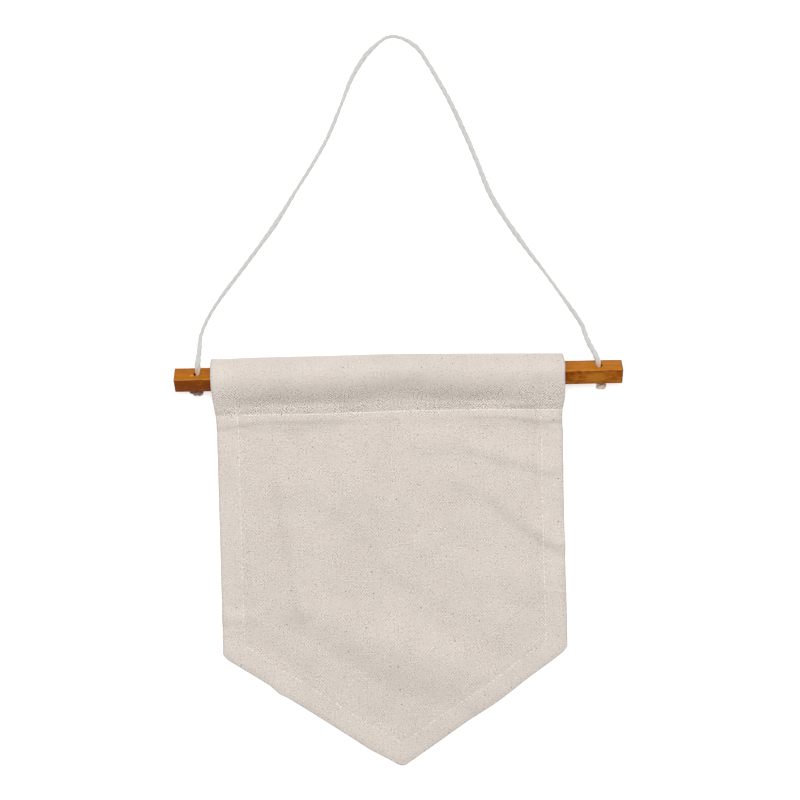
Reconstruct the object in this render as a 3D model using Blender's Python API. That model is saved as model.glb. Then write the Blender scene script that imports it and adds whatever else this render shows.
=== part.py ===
"""A plain cotton canvas banner on a square wooden stick, with a string to hang it by.

The banner lies face up on a flat surface at z = 0. +X runs along the stick, +Y up the
banner to the top of the string, and +Z out of the cloth's face. The origin is on the
surface, under the middle of the box that banner and stick fill together.
"""
import math

import bmesh
import bpy
import numpy as np
from mathutils import Matrix, Vector

MM = 0.001

# Pieces that touch keep this gap
GAP = 0.3 * MM

# The stick lies on one long edge, so that two of its faces show from above
STICK_LENGTH = 274.4 * MM
STICK_SIDE = 10.0 * MM
STICK_ARRIS = 0.5 * MM
STICK_ROLL = math.radians(46)
HOLE_X = 123.2 * MM
HOLE_DIAMETER = 4.0 * MM
HOLE_SIDES = 24

# Canvas: one layer, two layers at a hem, and the layers sewn together at the pocket's seam
CLOTH = 1.0 * MM
HEM_CLOTH = 1.6 * MM
SEAM_CLOTH = 2.2 * MM
HEM_WIDTH = 13.5 * MM
SEAM_ALLOWANCE = 3.0 * MM
HEM_SLOPE = 10.0 * MM
LAYER_STEP = 0.4 * MM
EDGE_ROUND = 0.4 * MM

# The cloth's two sides. Each row: y from the stick's axis, x of the left edge, x of the right edge
SIDE_EDGES_MM = (
    (-170, -111.2, 101.5),
    (-145, -111.5, 101.5),
    (-116, -111.8, 101.1),
    (-100, -111.9, 101.0),
    (-67, -112.3, 100.9),
    (-50, -112.4, 101.0),
    (-37, -112.6, 101.2),
    (-26, -112.8, 100.7),
    (-20, -113.4, 101.2),
    (-16, -113.7, 101.8),
    (-11, -114.0, 101.8),
    (-6, -114.3, 101.7),
    (0, -114.4, 101.5),
    (6, -114.6, 101.9),
    (12, -115.0, 101.4),
)

# The V edge before its corners and point are rounded. Each row: x, y from the stick's axis
BOTTOM_EDGE_MM = (
    (-112.0, -171.5),
    (-95.0, -182.3),
    (-83.0, -189.9),
    (-77.0, -195.4),
    (-70.8, -198.5),
    (-46.0, -214.5),
    (-22.0, -230.5),
    (-9.6, -237.3),
    (-1.5, -242.2),
    (28.0, -221.8),
    (46.7, -209.2),
    (65.0, -196.8),
    (91.0, -178.5),
    (101.6, -170.7),
)
POINT_X = -1.5 * MM
POINT_ROUND = 3.0 * MM
CORNER_ROUND = 4.0 * MM
CORNER_RISE = 0.4
EDGE_TILT = math.radians(33.5)

# Fold along the top and stitch line under the stick. Each row: x, y from the stick's axis
TOP_EDGE_MM = ((-115, 12.8), (-108, 12.7), (-90, 13.1), (-48, 13.4), (-8, 13.8), (45, 13.2), (102, 12.3))
SEAM_MM = ((-114, -22.9), (-94, -22.4), (-69, -22.7), (-46, -22.7), (-25, -22.2), (0, -21.8), (40, -21.6),
           (55, -21.7), (85, -22.2), (102, -22.6))
TOP_REACH = 13.9 * MM
SEAM_REACH = 21.3 * MM

# The pocket's outer surface, from the seam over the stick's ridge to where it meets the floor.
# Each row: y and z at the pocket's ends, y and z between there and its middle, y and z in its middle
POCKET_SECTION_MM = (
    (-21.3, 3.2, -21.3, 2.8, -21.3, 1.9),
    (-20.2, 4.2, -19.2, 3.3, -19.0, 2.3),
    (-19.2, 5.1, -17.2, 3.8, -17.0, 2.8),
    (-18.0, 6.2, -15.2, 4.9, -15.0, 3.7),
    (-16.0, 8.0, -13.0, 7.2, -13.0, 5.0),
    (-13.0, 10.5, -11.0, 9.8, -11.0, 6.9),
    (-10.0, 12.8, -9.0, 12.2, -9.0, 9.0),
    (-7.5, 14.5, -7.0, 14.1, -7.0, 11.3),
    (-5.0, 15.9, -5.0, 15.6, -5.0, 13.4),
    (-3.0, 16.9, -3.0, 16.6, -3.1, 15.2),
    (-1.0, 17.6, -1.0, 17.2, -1.5, 16.4),
    (0.9, 17.9, 0.9, 17.4, 0.0, 17.2),
    (3.2, 17.3, 3.2, 17.0, 1.6, 17.7),
    (5.8, 15.9, 5.8, 15.7, 3.4, 17.9),
    (8.6, 13.2, 8.6, 13.2, 5.2, 17.2),
    (11.3, 9.9, 11.3, 9.9, 7.2, 15.4),
    (13.2, 6.8, 13.2, 6.8, 9.6, 12.4),
    (13.9, 4.2, 13.9, 4.2, 12.0, 8.6),
    (13.2, 1.9, 13.2, 1.9, 13.9, 4.2),
    (11.4, 0.4, 11.4, 0.4, 13.0, 1.6),
    (9.0, 0.0, 9.0, 0.0, 9.0, 0.0),
    (2.0, 0.0, 2.0, 0.0, 2.0, 0.0),
    (-6.0, 0.0, -6.0, 0.0, -6.0, 0.0),
    (-14.0, 0.0, -14.0, 0.0, -14.0, 0.0),
    (-21.3, 0.0, -21.3, 0.0, -21.3, 0.0),
)
POCKET_APEX = 1.8 * MM
# How much of the ends' and of the middle's section shows at x. Each row: x, share
END_SHARE = ((-115, 0.7), (-104, 0.65), (-96, 0.4), (-86, 0.15), (-76, 0.0), (46, 0.0), (58, 0.15), (68, 0.4),
             (78, 0.75), (88, 1.0), (102, 1.0))
MIDDLE_SHARE = ((-115, 0.0), (-70, 0.05), (-48, 0.2), (-35, 0.3), (-22, 0.5), (-10, 0.9), (0, 1.0), (10, 0.9),
                (26, 0.35), (40, 0.15), (55, 0.05), (80, 0.0), (102, 0.0))

# Soft ridges where the lying cloth stands off the surface. Each row: start x and y,
# end x and y, half width, height, all y from the stick's axis
FOLDS_MM = (
    (8, -41, 44, -43, 10, 0.9),
    (44, -43, 96, -58, 9, 1.5),
    (33, -64, 55, -72, 10, 0.9),
    (55, -72, 80, -93, 9, 1.6),
    (80, -93, 101, -106, 9, 1.6),
    (-77, -68, -67, -140, 11, 1.2),
    (-110, -147, -90, -147, 7, 1.0),
    (-62, -66, -8, -74, 24, 1.6),
    (-22, -94, -6, -118, 9, 0.8),
    (-6, -118, 24, -137, 9, 0.8),
    (60, -129, 90, -131, 14, 0.9),
    (-58, -145, -34, -157, 17, 2.1),
    (-34, -157, -6, -173, 20, 3.0),
    (-6, -173, 28, -184, 24, 3.6),
    (28, -184, 60, -179, 24, 3.5),
)
HEM_FOLD_SHARE = 0.3

# Where the cloth's mesh has its columns and rows, from an edge or from the seam
HEM_STEPS = (EDGE_ROUND, 1.6 * MM, 4.5 * MM, 9.0 * MM, HEM_WIDTH, HEM_WIDTH + LAYER_STEP, 18.0 * MM)
SEAM_STEPS = (0.0, 1.5 * MM, SEAM_ALLOWANCE, SEAM_ALLOWANCE + LAYER_STEP, 7.0 * MM, 12.0 * MM)
COLUMNS_PER_HALF = 16
MIDDLE_ROWS = 21

# The string and its knots
STRING_DIAMETER = 2.2 * MM
STRING_STEP = 3.3 * STRING_DIAMETER
STRING_Z = STRING_DIAMETER / 2 + 0.05 * MM
# The string's route from the left knot to the right one. Each row: x, y from the stick's axis,
# and how far its centre is above where it lies on the floor
STRING_ROUTE_MM = (
    (-122.9, -5.1, 3.7),
    (-122.7, -3.1, 4.7),
    (-122.7, 0, 7.7),
    (-122.7, 3.6, 11.2),
    (-122.5, 7.3, 12.8),
    (-122.4, 11.5, 11.7),
    (-122.2, 15.4, 8.2),
    (-122.2, 19.4, 4.2),
    (-122.2, 23.8, 1.1),
    (-121.4, 28.5, 0.15),
    (-117.7, 37.0, 0.05),
    (-111.0, 47.8, 0),
    (-98.5, 64, 0),
    (-85.3, 81, 0),
    (-73, 97.6, 0),
    (-61.9, 115, 0),
    (-50.3, 132.7, 0),
    (-40.2, 150.3, 0),
    (-32.1, 169.2, 0),
    (-27.6, 180.3, 0),
    (-23.8, 188, 0),
    (-16.9, 198.4, 0),
    (-9.1, 206.1, 0),
    (-3.0, 210.0, 0),
    (3.0, 210.3, 0),
    (10.3, 207.2, 0),
    (16.6, 201.8, 0),
    (21.3, 194.6, 0),
    (25.8, 187, 0),
    (35.0, 169.8, 0),
    (43.2, 151.6, 0),
    (51.2, 132, 0),
    (58.7, 112.6, 0),
    (68.6, 95.6, 0),
    (80.2, 78.6, 0),
    (92, 62.6, 0),
    (103.9, 45.6, 0.05),
    (113.7, 30.8, 0.2),
    (116.0, 24.4, 1.4),
    (117.7, 18.9, 5),
    (119.4, 14.6, 9.2),
    (121.0, 10.8, 12.1),
    (122.2, 7, 12.8),
    (122.8, 3.6, 11.2),
    (122.8, 0, 7.7),
    (122.9, -3.2, 4.5),
    (124.3, -5.6, 3.5),
)
# Where the knots lie: x, y from the stick's axis, z
LEFT_KNOT_MM = (-123.9, -7.3, 3.2)
RIGHT_KNOT_MM = (125.0, -7.8, 3.1)
KNOT_STRAND = 1.05 * MM
KNOT_RING = 1.6 * MM
KNOT_WEAVE = 0.9 * MM
KNOT_POINTS = 72
KNOT_VOXEL = 0.3 * MM
KNOT_TRIANGLE_SHARE = 0.3


def table(rows, column):
    """One column of a table in millimetres, in metres."""
    return [row[column] * MM for row in rows]


def along(position, rows, column):
    """A table's column, read at a position in metres that its first column holds."""
    return float(np.interp(position, table(rows, 0), table(rows, column)))


def fall(distance, reach):
    """1 up to a distance of nothing, then a smooth fall to 0 at reach."""
    t = min(max(distance / reach, 0.0), 1.0)
    return 1.0 - t * t * (3.0 - 2.0 * t)


def left_edge(y):
    return along(y, SIDE_EDGES_MM, 1)


def right_edge(y):
    return along(y, SIDE_EDGES_MM, 2)


def bottom_edge(x):
    """y of the V edge at x, with the point and both corners rounded."""
    y = along(x, BOTTOM_EDGE_MM, 1)
    slope = math.tan(EDGE_TILT)
    from_point = abs(x - POINT_X)
    if from_point < POINT_ROUND:
        y += slope * (POINT_ROUND - from_point) ** 2 / (2.0 * POINT_ROUND)
    from_corner = min(x - left_edge(y), right_edge(y) - x)
    if from_corner < CORNER_ROUND:
        y += CORNER_RISE * (CORNER_ROUND - max(from_corner, 0.0)) ** 2 / CORNER_ROUND
    return y


# The origin is halfway between the banner's point and its top fold
STICK_Y = (TOP_REACH - bottom_edge(POINT_X)) / 2.0 - TOP_REACH


def stick_reach():
    """How far the rolled stick reaches below its own axis, with its edges rounded."""
    flat = STICK_SIDE / 2.0 - STICK_ARRIS
    return flat * (math.sin(STICK_ROLL) + math.cos(STICK_ROLL)) + STICK_ARRIS


STICK_Z = HEM_CLOTH + GAP + stick_reach()


def fold_height(x, y):
    """Height of the soft ridges at a place on the cloth."""
    height = 0.0
    for row in FOLDS_MM:
        start = Vector((row[0] * MM, row[1] * MM))
        run = Vector((row[2] * MM, row[3] * MM)) - start
        here = Vector((x, y)) - start
        t = min(max(here.dot(run) / run.length_squared, 0.0), 1.0)
        away = (here - run * t).length / (row[4] * MM)
        if away < 1.0:
            height = max(height, row[5] * MM * (1.0 - away * away) ** 2)
    return height


def cloth_heights(x, y, in_hem, in_seam):
    """z of the cloth's upper and lower side at a place below the seam."""
    from_side = min(x - left_edge(y), right_edge(y) - x)
    from_bottom = (y - bottom_edge(x)) * math.cos(EDGE_TILT)
    from_seam = along(x, SEAM_MM, 1) - y
    hem = (HEM_CLOTH - CLOTH) * fall(min(from_side, from_bottom) - HEM_WIDTH, HEM_SLOPE)
    seam = (SEAM_CLOTH - CLOTH) * fall(from_seam - SEAM_ALLOWANCE, HEM_SLOPE)
    folds = fold_height(x, y) * (1.0 - fall(from_seam - SEAM_ALLOWANCE, HEM_SLOPE))
    if in_hem or in_seam:
        folds *= HEM_FOLD_SHARE
        under = 0.0 if in_seam else folds
        return max(hem, seam) + CLOTH + folds, under
    rise = (hem ** 3 + seam ** 3 + folds ** 3) ** (1.0 / 3.0)
    return rise + CLOTH, rise


def pocket_section(x):
    """The pocket's outer surface at x, as (y, z) points from the seam round to the seam."""
    end, middle = (float(np.interp(x, table(rows, 0), [row[1] for row in rows]))
                   for rows in (END_SHARE, MIDDLE_SHARE))
    shares = (end * (1.0 - middle), (1.0 - end) * (1.0 - middle), middle)
    upper = along(x, TOP_EDGE_MM, 1) / TOP_REACH
    lower = -along(x, SEAM_MM, 1) / SEAM_REACH
    points = []
    for row in POCKET_SECTION_MM:
        y, z = (sum(value * share for value, share in zip(row[k::2], shares)) * MM for k in (0, 1))
        points.append(Vector((y * (upper if y > 0.0 else lower), z)))
    return points


def inner_section(outer, thickness):
    """The tunnel's wall: the outer points moved in by the cloth's thickness, from and to its apex."""
    apex = Vector((outer[0].x + POCKET_APEX, thickness))
    inner = [apex]
    for before, here, after in zip(outer[:-2], outer[1:-1], outer[2:]):
        run = (after - before).normalized()
        point = here + Vector((run.y, -run.x)) * thickness
        inner.append(Vector((max(point.x, apex.x), max(point.y, thickness))))
    inner.append(apex)
    return inner


def column_lines():
    """The cloth's columns: (share of its width from 0 at the left edge to 1, in a hem)."""
    y = bottom_edge(POINT_X)
    width = right_edge(y) - left_edge(y)
    point = (POINT_X - left_edge(y)) / width
    near = [(step / width, step <= HEM_WIDTH) for step in HEM_STEPS]
    far = [(1.0 - share, in_hem) for share, in_hem in reversed(near)]
    left = [(share, False) for share in np.linspace(near[-1][0], point, COLUMNS_PER_HALF)]
    right = [(share, False) for share in np.linspace(point, far[0][0], COLUMNS_PER_HALF)]
    return near[:-1] + left + right[1:] + far[1:]


def column_place(share, y_of_x):
    """x and y where a column crosses a line that is given as a function of x."""
    y = y_of_x(0.0)
    for _ in range(4):
        x = left_edge(y) + share * (right_edge(y) - left_edge(y))
        y = y_of_x(x)
    return x, y


def row_lines():
    """The cloth's rows from the seam to the V edge: (y as a function of x, in the hem, in the seam)."""
    lift = 1.0 / math.cos(EDGE_TILT)

    def below_seam(step):
        return lambda x: along(x, SEAM_MM, 1) - step

    def above_bottom(step):
        return lambda x: bottom_edge(x) + step * lift

    def between(share):
        high = below_seam(SEAM_STEPS[-1])
        low = above_bottom(HEM_STEPS[-1])
        return lambda x: high(x) + (low(x) - high(x)) * share

    rows = [(below_seam(step), False, step <= SEAM_ALLOWANCE) for step in SEAM_STEPS]
    rows += [(between(share), False, False) for share in np.linspace(0, 1, MIDDLE_ROWS + 2)[1:-1]]
    rows += [(above_bottom(step), step <= HEM_WIDTH, False) for step in reversed(HEM_STEPS)]
    return rows


def cloth_mesh():
    """The banner as one closed body: body, hems and pocket, with a tunnel for the stick."""
    mesh = bmesh.new()

    def vertex(x, y, z):
        return mesh.verts.new((x, y + STICK_Y, z))

    columns = column_lines()
    rows = row_lines()
    front, back, outer, inner = [], [], [], []
    for share, side_hem in columns:
        top, under = [], []
        for line, in_hem, in_seam in rows:
            x, y = column_place(share, line)
            high, low = cloth_heights(x, y, in_hem or side_hem, in_seam)
            top.append(vertex(x, y, high))
            under.append(vertex(x, y, low))
        front.append(top)
        back.append(under)
        x = column_place(share, lambda _: 0.0)[0]
        section = pocket_section(x)
        wall = inner_section(section, HEM_CLOTH if side_hem else CLOTH)

        def on_column(point):
            side = left_edge(point.x) + share * (right_edge(point.x) - left_edge(point.x))
            return vertex(side, point.x, point.y)

        outer.append([top[0]] + [on_column(point) for point in section[1:-1]] + [under[0]])
        ring = [on_column(point) for point in wall[:-1]]
        inner.append(ring + [ring[0]])

    def skin(lines):
        for first, second in zip(lines[:-1], lines[1:]):
            for a, b, c, d in zip(first[:-1], first[1:], second[1:], second[:-1]):
                mesh.faces.new((a, b, c, d))

    skin(front)
    skin(back)
    skin(outer)
    skin(inner)

    # The rounded fold along the V edge and both sides runs halfway between front and back
    outline = [0.0] + [share for share, _ in columns[1:-1]] + [1.0]
    rim = []
    for share, top, under in zip(outline, front, back):
        x, y = column_place(share, bottom_edge)
        rim.append(vertex(x, y, (top[-1].co.z + under[-1].co.z) / 2.0))
    for i in range(len(columns) - 1):
        mesh.faces.new((front[i][-1], front[i + 1][-1], rim[i + 1], rim[i]))
        mesh.faces.new((rim[i], rim[i + 1], back[i + 1][-1], back[i][-1]))
    for column, side_edge in ((0, left_edge), (-1, right_edge)):
        top, under = front[column], back[column]
        edge = []
        for high, low in zip(top[:-1], under[:-1]):
            y = high.co.y - STICK_Y
            edge.append(vertex(side_edge(y), y, (high.co.z + low.co.z) / 2.0))
        edge.append(rim[column])
        for j in range(len(rows) - 1):
            mesh.faces.new((top[j], top[j + 1], edge[j + 1], edge[j]))
            mesh.faces.new((edge[j], edge[j + 1], under[j + 1], under[j]))
        # The pocket's open end
        shell, tunnel = outer[column], inner[column]
        for k in range(len(shell) - 1):
            mesh.faces.new((shell[k], shell[k + 1], tunnel[k + 1], tunnel[k]))
        mesh.faces.new((shell[0], tunnel[0], edge[0]))
        mesh.faces.new((edge[0], tunnel[0], shell[-1]))

    bmesh.ops.recalc_face_normals(mesh, faces=mesh.faces)
    data = bpy.data.meshes.new("canvas_banner")
    mesh.to_mesh(data)
    mesh.free()
    return data


def material(name, colour, roughness):
    """A plain Principled material."""
    made = bpy.data.materials.new(name)
    made.use_nodes = True
    shader = made.node_tree.nodes["Principled BSDF"]
    shader.inputs["Base Color"].default_value = (*colour, 1.0)
    shader.inputs["Roughness"].default_value = roughness
    return made


def placed(name, data, finish, place=(0.0, 0.0, 0.0)):
    """An object of the model with its material, at its place."""
    made = bpy.data.objects.new(name, data)
    made.location = place
    data.materials.append(finish)
    bpy.context.scene.collection.objects.link(made)
    return made


def make_cloth(finish):
    cloth = placed("canvas_banner", cloth_mesh(), finish)
    cloth.data.shade_smooth()
    cloth.data.set_sharp_from_angle(angle=math.radians(40))
    return cloth


def block(name, length, side):
    """A square bar along X, centred on the origin."""
    data = bpy.data.meshes.new(name)
    mesh = bmesh.new()
    bmesh.ops.create_cube(mesh, size=1.0, matrix=Matrix.Diagonal((length, side, side, 1.0)))
    mesh.to_mesh(data)
    mesh.free()
    return data


def make_stick(finish):
    """The square stick with softened edges and a drilled hole near each end."""
    stick = placed("wooden_stick", block("wooden_stick", STICK_LENGTH, STICK_SIDE), finish,
                   (0.0, STICK_Y, STICK_Z))
    stick.rotation_euler.x = -STICK_ROLL
    bevel = stick.modifiers.new("softened edges", "BEVEL")
    bevel.width = STICK_ARRIS
    bevel.segments = 2
    for side in (-1, 1):
        data = bpy.data.meshes.new("drill")
        mesh = bmesh.new()
        bmesh.ops.create_cone(mesh, cap_ends=True, segments=HOLE_SIDES, radius1=HOLE_DIAMETER / 2,
                              radius2=HOLE_DIAMETER / 2, depth=2 * STICK_SIDE)
        mesh.to_mesh(data)
        mesh.free()
        drill = placed("drill", data, finish, (side * HOLE_X, STICK_Y, STICK_Z))
        drill.rotation_euler.x = -STICK_ROLL
        drill.hide_render = True
        drill.display_type = "WIRE"
        hole = stick.modifiers.new("hole", "BOOLEAN")
        hole.operation = "DIFFERENCE"
        hole.object = drill
    return stick


def smooth_route(points, step):
    """Points no more than step apart on a smooth curve through the route's own points."""
    padded = [points[0] * 2 - points[1]] + points + [points[-1] * 2 - points[-2]]
    route = []
    for a, b, c, d in zip(padded[:-3], padded[1:-2], padded[2:-1], padded[3:]):
        count = max(1, math.ceil((c - b).length / step))
        for i in range(count):
            t = i / count
            route.append(0.5 * (2 * b + (c - a) * t + (2 * a - 5 * b + 4 * c - d) * t ** 2
                                + (3 * b - a - 3 * c + d) * t ** 3))
    route.append(points[-1])
    return route


def tube(name, points, radius, cyclic=False):
    """A round cord along points."""
    data = bpy.data.curves.new(name, "CURVE")
    data.dimensions = "3D"
    data.bevel_depth = radius
    data.bevel_resolution = 2
    data.use_fill_caps = not cyclic
    spline = data.splines.new("POLY")
    spline.points.add(len(points) - 1)
    for place, point in zip(spline.points, points):
        place.co = (*point, 1.0)
    spline.use_cyclic_u = cyclic
    return data


def make_string(finish):
    points = [Vector((x * MM, y * MM + STICK_Y, rise * MM + STRING_Z)) for x, y, rise in STRING_ROUTE_MM]
    data = tube("hanging_string", smooth_route(points, STRING_STEP), STRING_DIAMETER / 2)
    return placed("hanging_string", data, finish)


def make_knot(name, place_mm, finish):
    """An overhand knot pulled tight, its strands fused, flat against the stick's lower face."""
    points = []
    for i in range(KNOT_POINTS):
        turn = 2.0 * math.pi * i / KNOT_POINTS
        reach = KNOT_RING + KNOT_WEAVE * math.cos(3 * turn)
        points.append(Vector((reach * math.cos(2 * turn), reach * math.sin(2 * turn),
                              KNOT_WEAVE * math.sin(3 * turn))))
    strand = bpy.data.objects.new(name, tube(name, points, KNOT_STRAND, cyclic=True))
    bpy.context.scene.collection.objects.link(strand)
    bpy.context.view_layer.update()
    data = bpy.data.meshes.new_from_object(strand.evaluated_get(bpy.context.evaluated_depsgraph_get()))
    bpy.data.objects.remove(strand)
    x, y, z = place_mm
    knot = placed(name, data, finish, (x * MM, y * MM + STICK_Y, z * MM))
    knot.rotation_euler.x = -STICK_ROLL
    fuse = knot.modifiers.new("fused strands", "REMESH")
    fuse.mode = "VOXEL"
    fuse.voxel_size = KNOT_VOXEL
    thin = knot.modifiers.new("fewer faces", "DECIMATE")
    thin.ratio = KNOT_TRIANGLE_SHARE
    return knot


def main():
    for old in list(bpy.data.objects):
        bpy.data.objects.remove(old)
    canvas = material("natural_canvas", (0.69, 0.63, 0.56), 0.9)
    wood = material("stained_wood", (0.47, 0.20, 0.04), 0.5)
    cotton = material("cotton_string", (0.66, 0.65, 0.61), 0.85)
    make_cloth(canvas)
    make_stick(wood)
    make_string(cotton)
    make_knot("left_knot", LEFT_KNOT_MM, cotton)
    make_knot("right_knot", RIGHT_KNOT_MM, cotton)


main()
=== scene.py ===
"""The looks of a plain canvas banner on its wooden stick, lying face up on a pale floor.

The sections follow the banner as it is put together: the string's route and camera first, then
the canvas with its hems and pocket, the sewing, the stick, and the knots below its holes.
"""
import math

import bmesh
import bpy
import numpy as np
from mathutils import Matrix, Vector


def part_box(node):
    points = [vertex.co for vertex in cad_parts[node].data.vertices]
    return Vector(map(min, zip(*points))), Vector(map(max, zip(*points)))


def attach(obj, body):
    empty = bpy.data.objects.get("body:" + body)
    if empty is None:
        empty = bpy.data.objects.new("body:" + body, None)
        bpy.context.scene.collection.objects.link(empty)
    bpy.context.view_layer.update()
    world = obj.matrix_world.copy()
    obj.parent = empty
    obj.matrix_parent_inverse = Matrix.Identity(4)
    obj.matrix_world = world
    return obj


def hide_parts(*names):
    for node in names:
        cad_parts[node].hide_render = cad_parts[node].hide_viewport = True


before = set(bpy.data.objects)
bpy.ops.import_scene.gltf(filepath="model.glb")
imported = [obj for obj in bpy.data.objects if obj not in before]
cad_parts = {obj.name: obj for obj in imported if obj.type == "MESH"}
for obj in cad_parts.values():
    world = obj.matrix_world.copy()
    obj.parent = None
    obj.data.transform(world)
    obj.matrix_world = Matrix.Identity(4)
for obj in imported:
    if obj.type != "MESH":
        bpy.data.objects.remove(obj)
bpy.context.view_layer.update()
MM = 0.001

# Camera. It looks straight down from a metre above the floor and takes in half a metre, with
# the banner turned a little in its view.
stick_low, stick_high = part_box("wooden_stick")
STICK_Y = (stick_low.y + stick_high.y) / 2
STICK_Z = (stick_low.z + stick_high.z) / 2
VIEW_HEIGHT = 1.0
VIEW_WIDTH = 496 * MM
VIEW_X = 0.83 * MM
VIEW_BELOW_STICK = 14.73 * MM
VIEW_TURN = math.radians(-1.06)
SENSOR_MM = 36.0

camera = bpy.data.objects.new("camera", bpy.data.cameras.new("camera"))
camera.data.sensor_width = SENSOR_MM
camera.data.lens = SENSOR_MM * VIEW_HEIGHT / VIEW_WIDTH
camera.location = (VIEW_X, STICK_Y - VIEW_BELOW_STICK, VIEW_HEIGHT)
camera.rotation_euler = (0.0, 0.0, VIEW_TURN)
bpy.context.scene.collection.objects.link(camera)
bpy.context.scene.camera = camera
bpy.context.scene.view_settings.view_transform = "Standard"

# String. Soft cotton, three plies laid round each other, off-white and matt. It comes up through
# the stick's left hole, lies on the floor in a tall bend, and goes down the right hole again.
STRING_DIAMETER = 2.2 * MM
STRING_OFF_FLOOR = 0.05 * MM
STRING_Z = STRING_DIAMETER / 2 + STRING_OFF_FLOOR
# The route from the left knot to the right one. Each row: x, y from the stick's axis, and how
# far the string's middle is above where it lies on the floor
STRING_ROUTE_MM = (
    (-122.9, -5.1, 3.7),
    (-122.7, -3.1, 4.7),
    (-122.7, 0, 7.7),
    (-122.7, 3.6, 11.2),
    (-122.5, 7.3, 12.8),
    (-122.4, 11.5, 11.7),
    (-122.2, 15.4, 8.2),
    (-122.2, 19.4, 4.2),
    (-122.2, 23.8, 1.1),
    (-121.4, 28.5, 0.15),
    (-117.7, 37.0, 0.05),
    (-111.0, 47.8, 0),
    (-98.5, 64, 0),
    (-85.3, 81, 0),
    (-73, 97.6, 0),
    (-61.9, 115, 0),
    (-50.3, 132.7, 0),
    (-40.2, 150.3, 0),
    (-32.1, 169.2, 0),
    (-27.6, 180.3, 0),
    (-23.8, 188, 0),
    (-16.9, 198.4, 0),
    (-9.1, 206.1, 0),
    (-3.0, 210.0, 0),
    (3.0, 210.3, 0),
    (10.3, 207.2, 0),
    (16.6, 201.8, 0),
    (21.3, 194.6, 0),
    (25.8, 187, 0),
    (35.0, 169.8, 0),
    (43.2, 151.6, 0),
    (51.2, 132, 0),
    (58.7, 112.6, 0),
    (68.6, 95.6, 0),
    (80.2, 78.6, 0),
    (92, 62.6, 0),
    (103.9, 45.6, 0.05),
    (113.7, 30.8, 0.2),
    (116.0, 24.4, 1.4),
    (117.7, 18.9, 5),
    (119.4, 14.6, 9.2),
    (121.0, 10.8, 12.1),
    (122.2, 7, 12.8),
    (122.8, 3.6, 11.2),
    (122.8, 0, 7.7),
    (122.9, -3.2, 4.5),
    (124.3, -5.6, 3.5),
)
STRING_STEP = 0.75 * MM
CURVE_STEPS = 16
PLIES = 3
PLY_SIDES = 8
PLY_SIZE = 0.64
PLY_REACH = 0.42
LAY = 16.0 * MM
# Each ply swells and thins a little along its length
PLY_SWELL = 0.07
SWELL_LENGTHS = (3.1 * MM, 7.3 * MM)
# From the string's middle to its outside where it is of its usual width, with a ply swollen and a
# hair to spare
STRING_REACH = STRING_DIAMETER / 2 * (PLY_SIZE * (1.01 + PLY_SWELL) + PLY_REACH)
# A direction in which no yarn here starts, to take its first side from
ASKEW = (0.31, 0.0, 0.95)
# How much thinner or thicker the string is along its length. Each row: share of its length, width
STRING_WIDTH = (
    (0, 1.0), (0.014, 1.1), (0.02, 1.5), (0.029, 1.62), (0.036, 1.55), (0.046, 1.3), (0.062, 1.28),
    (0.072, 1.15), (0.08, 1.0), (0.12, 0.95), (0.14, 1.15), (0.165, 1.1), (0.19, 1.2), (0.2, 1.08),
    (0.215, 1.28), (0.235, 1.42), (0.25, 1.22), (0.27, 1.1), (0.285, 0.95), (0.32, 1.05), (0.38, 1.1),
    (0.395, 0.9), (0.415, 1.15), (0.44, 1.3), (0.465, 1.42), (0.488, 0.9), (0.51, 0.92), (0.53, 1.3),
    (0.55, 1.17), (0.575, 1.28), (0.6, 1.3), (0.63, 1.42), (0.69, 1.35), (0.73, 1.55), (0.75, 1.45),
    (0.763, 1.3), (0.785, 1.55), (0.8, 1.33), (0.82, 1.12), (0.84, 0.93), (0.87, 0.98), (0.895, 1.28),
    (0.92, 1.3), (0.945, 1.4), (0.97, 1.55), (0.978, 1.35), (0.984, 1.0), (1, 1.0),
)
COTTON = (0.66, 0.66, 0.64)
COTTON_SHADE = (0.49, 0.49, 0.47)
# The tint near the string's ends: stain rubbed off the stick, and partly a painted reflection of the orange
# wood
COTTON_STAIN_AND_REFLECTION = (0.62, 0.43, 0.27)
STAIN_AND_REFLECTION_SHARE = 1.2
STAIN_AND_REFLECTION_END = 17.2 * MM
STAIN_AND_REFLECTION_FADES = 3.0 * MM


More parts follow.
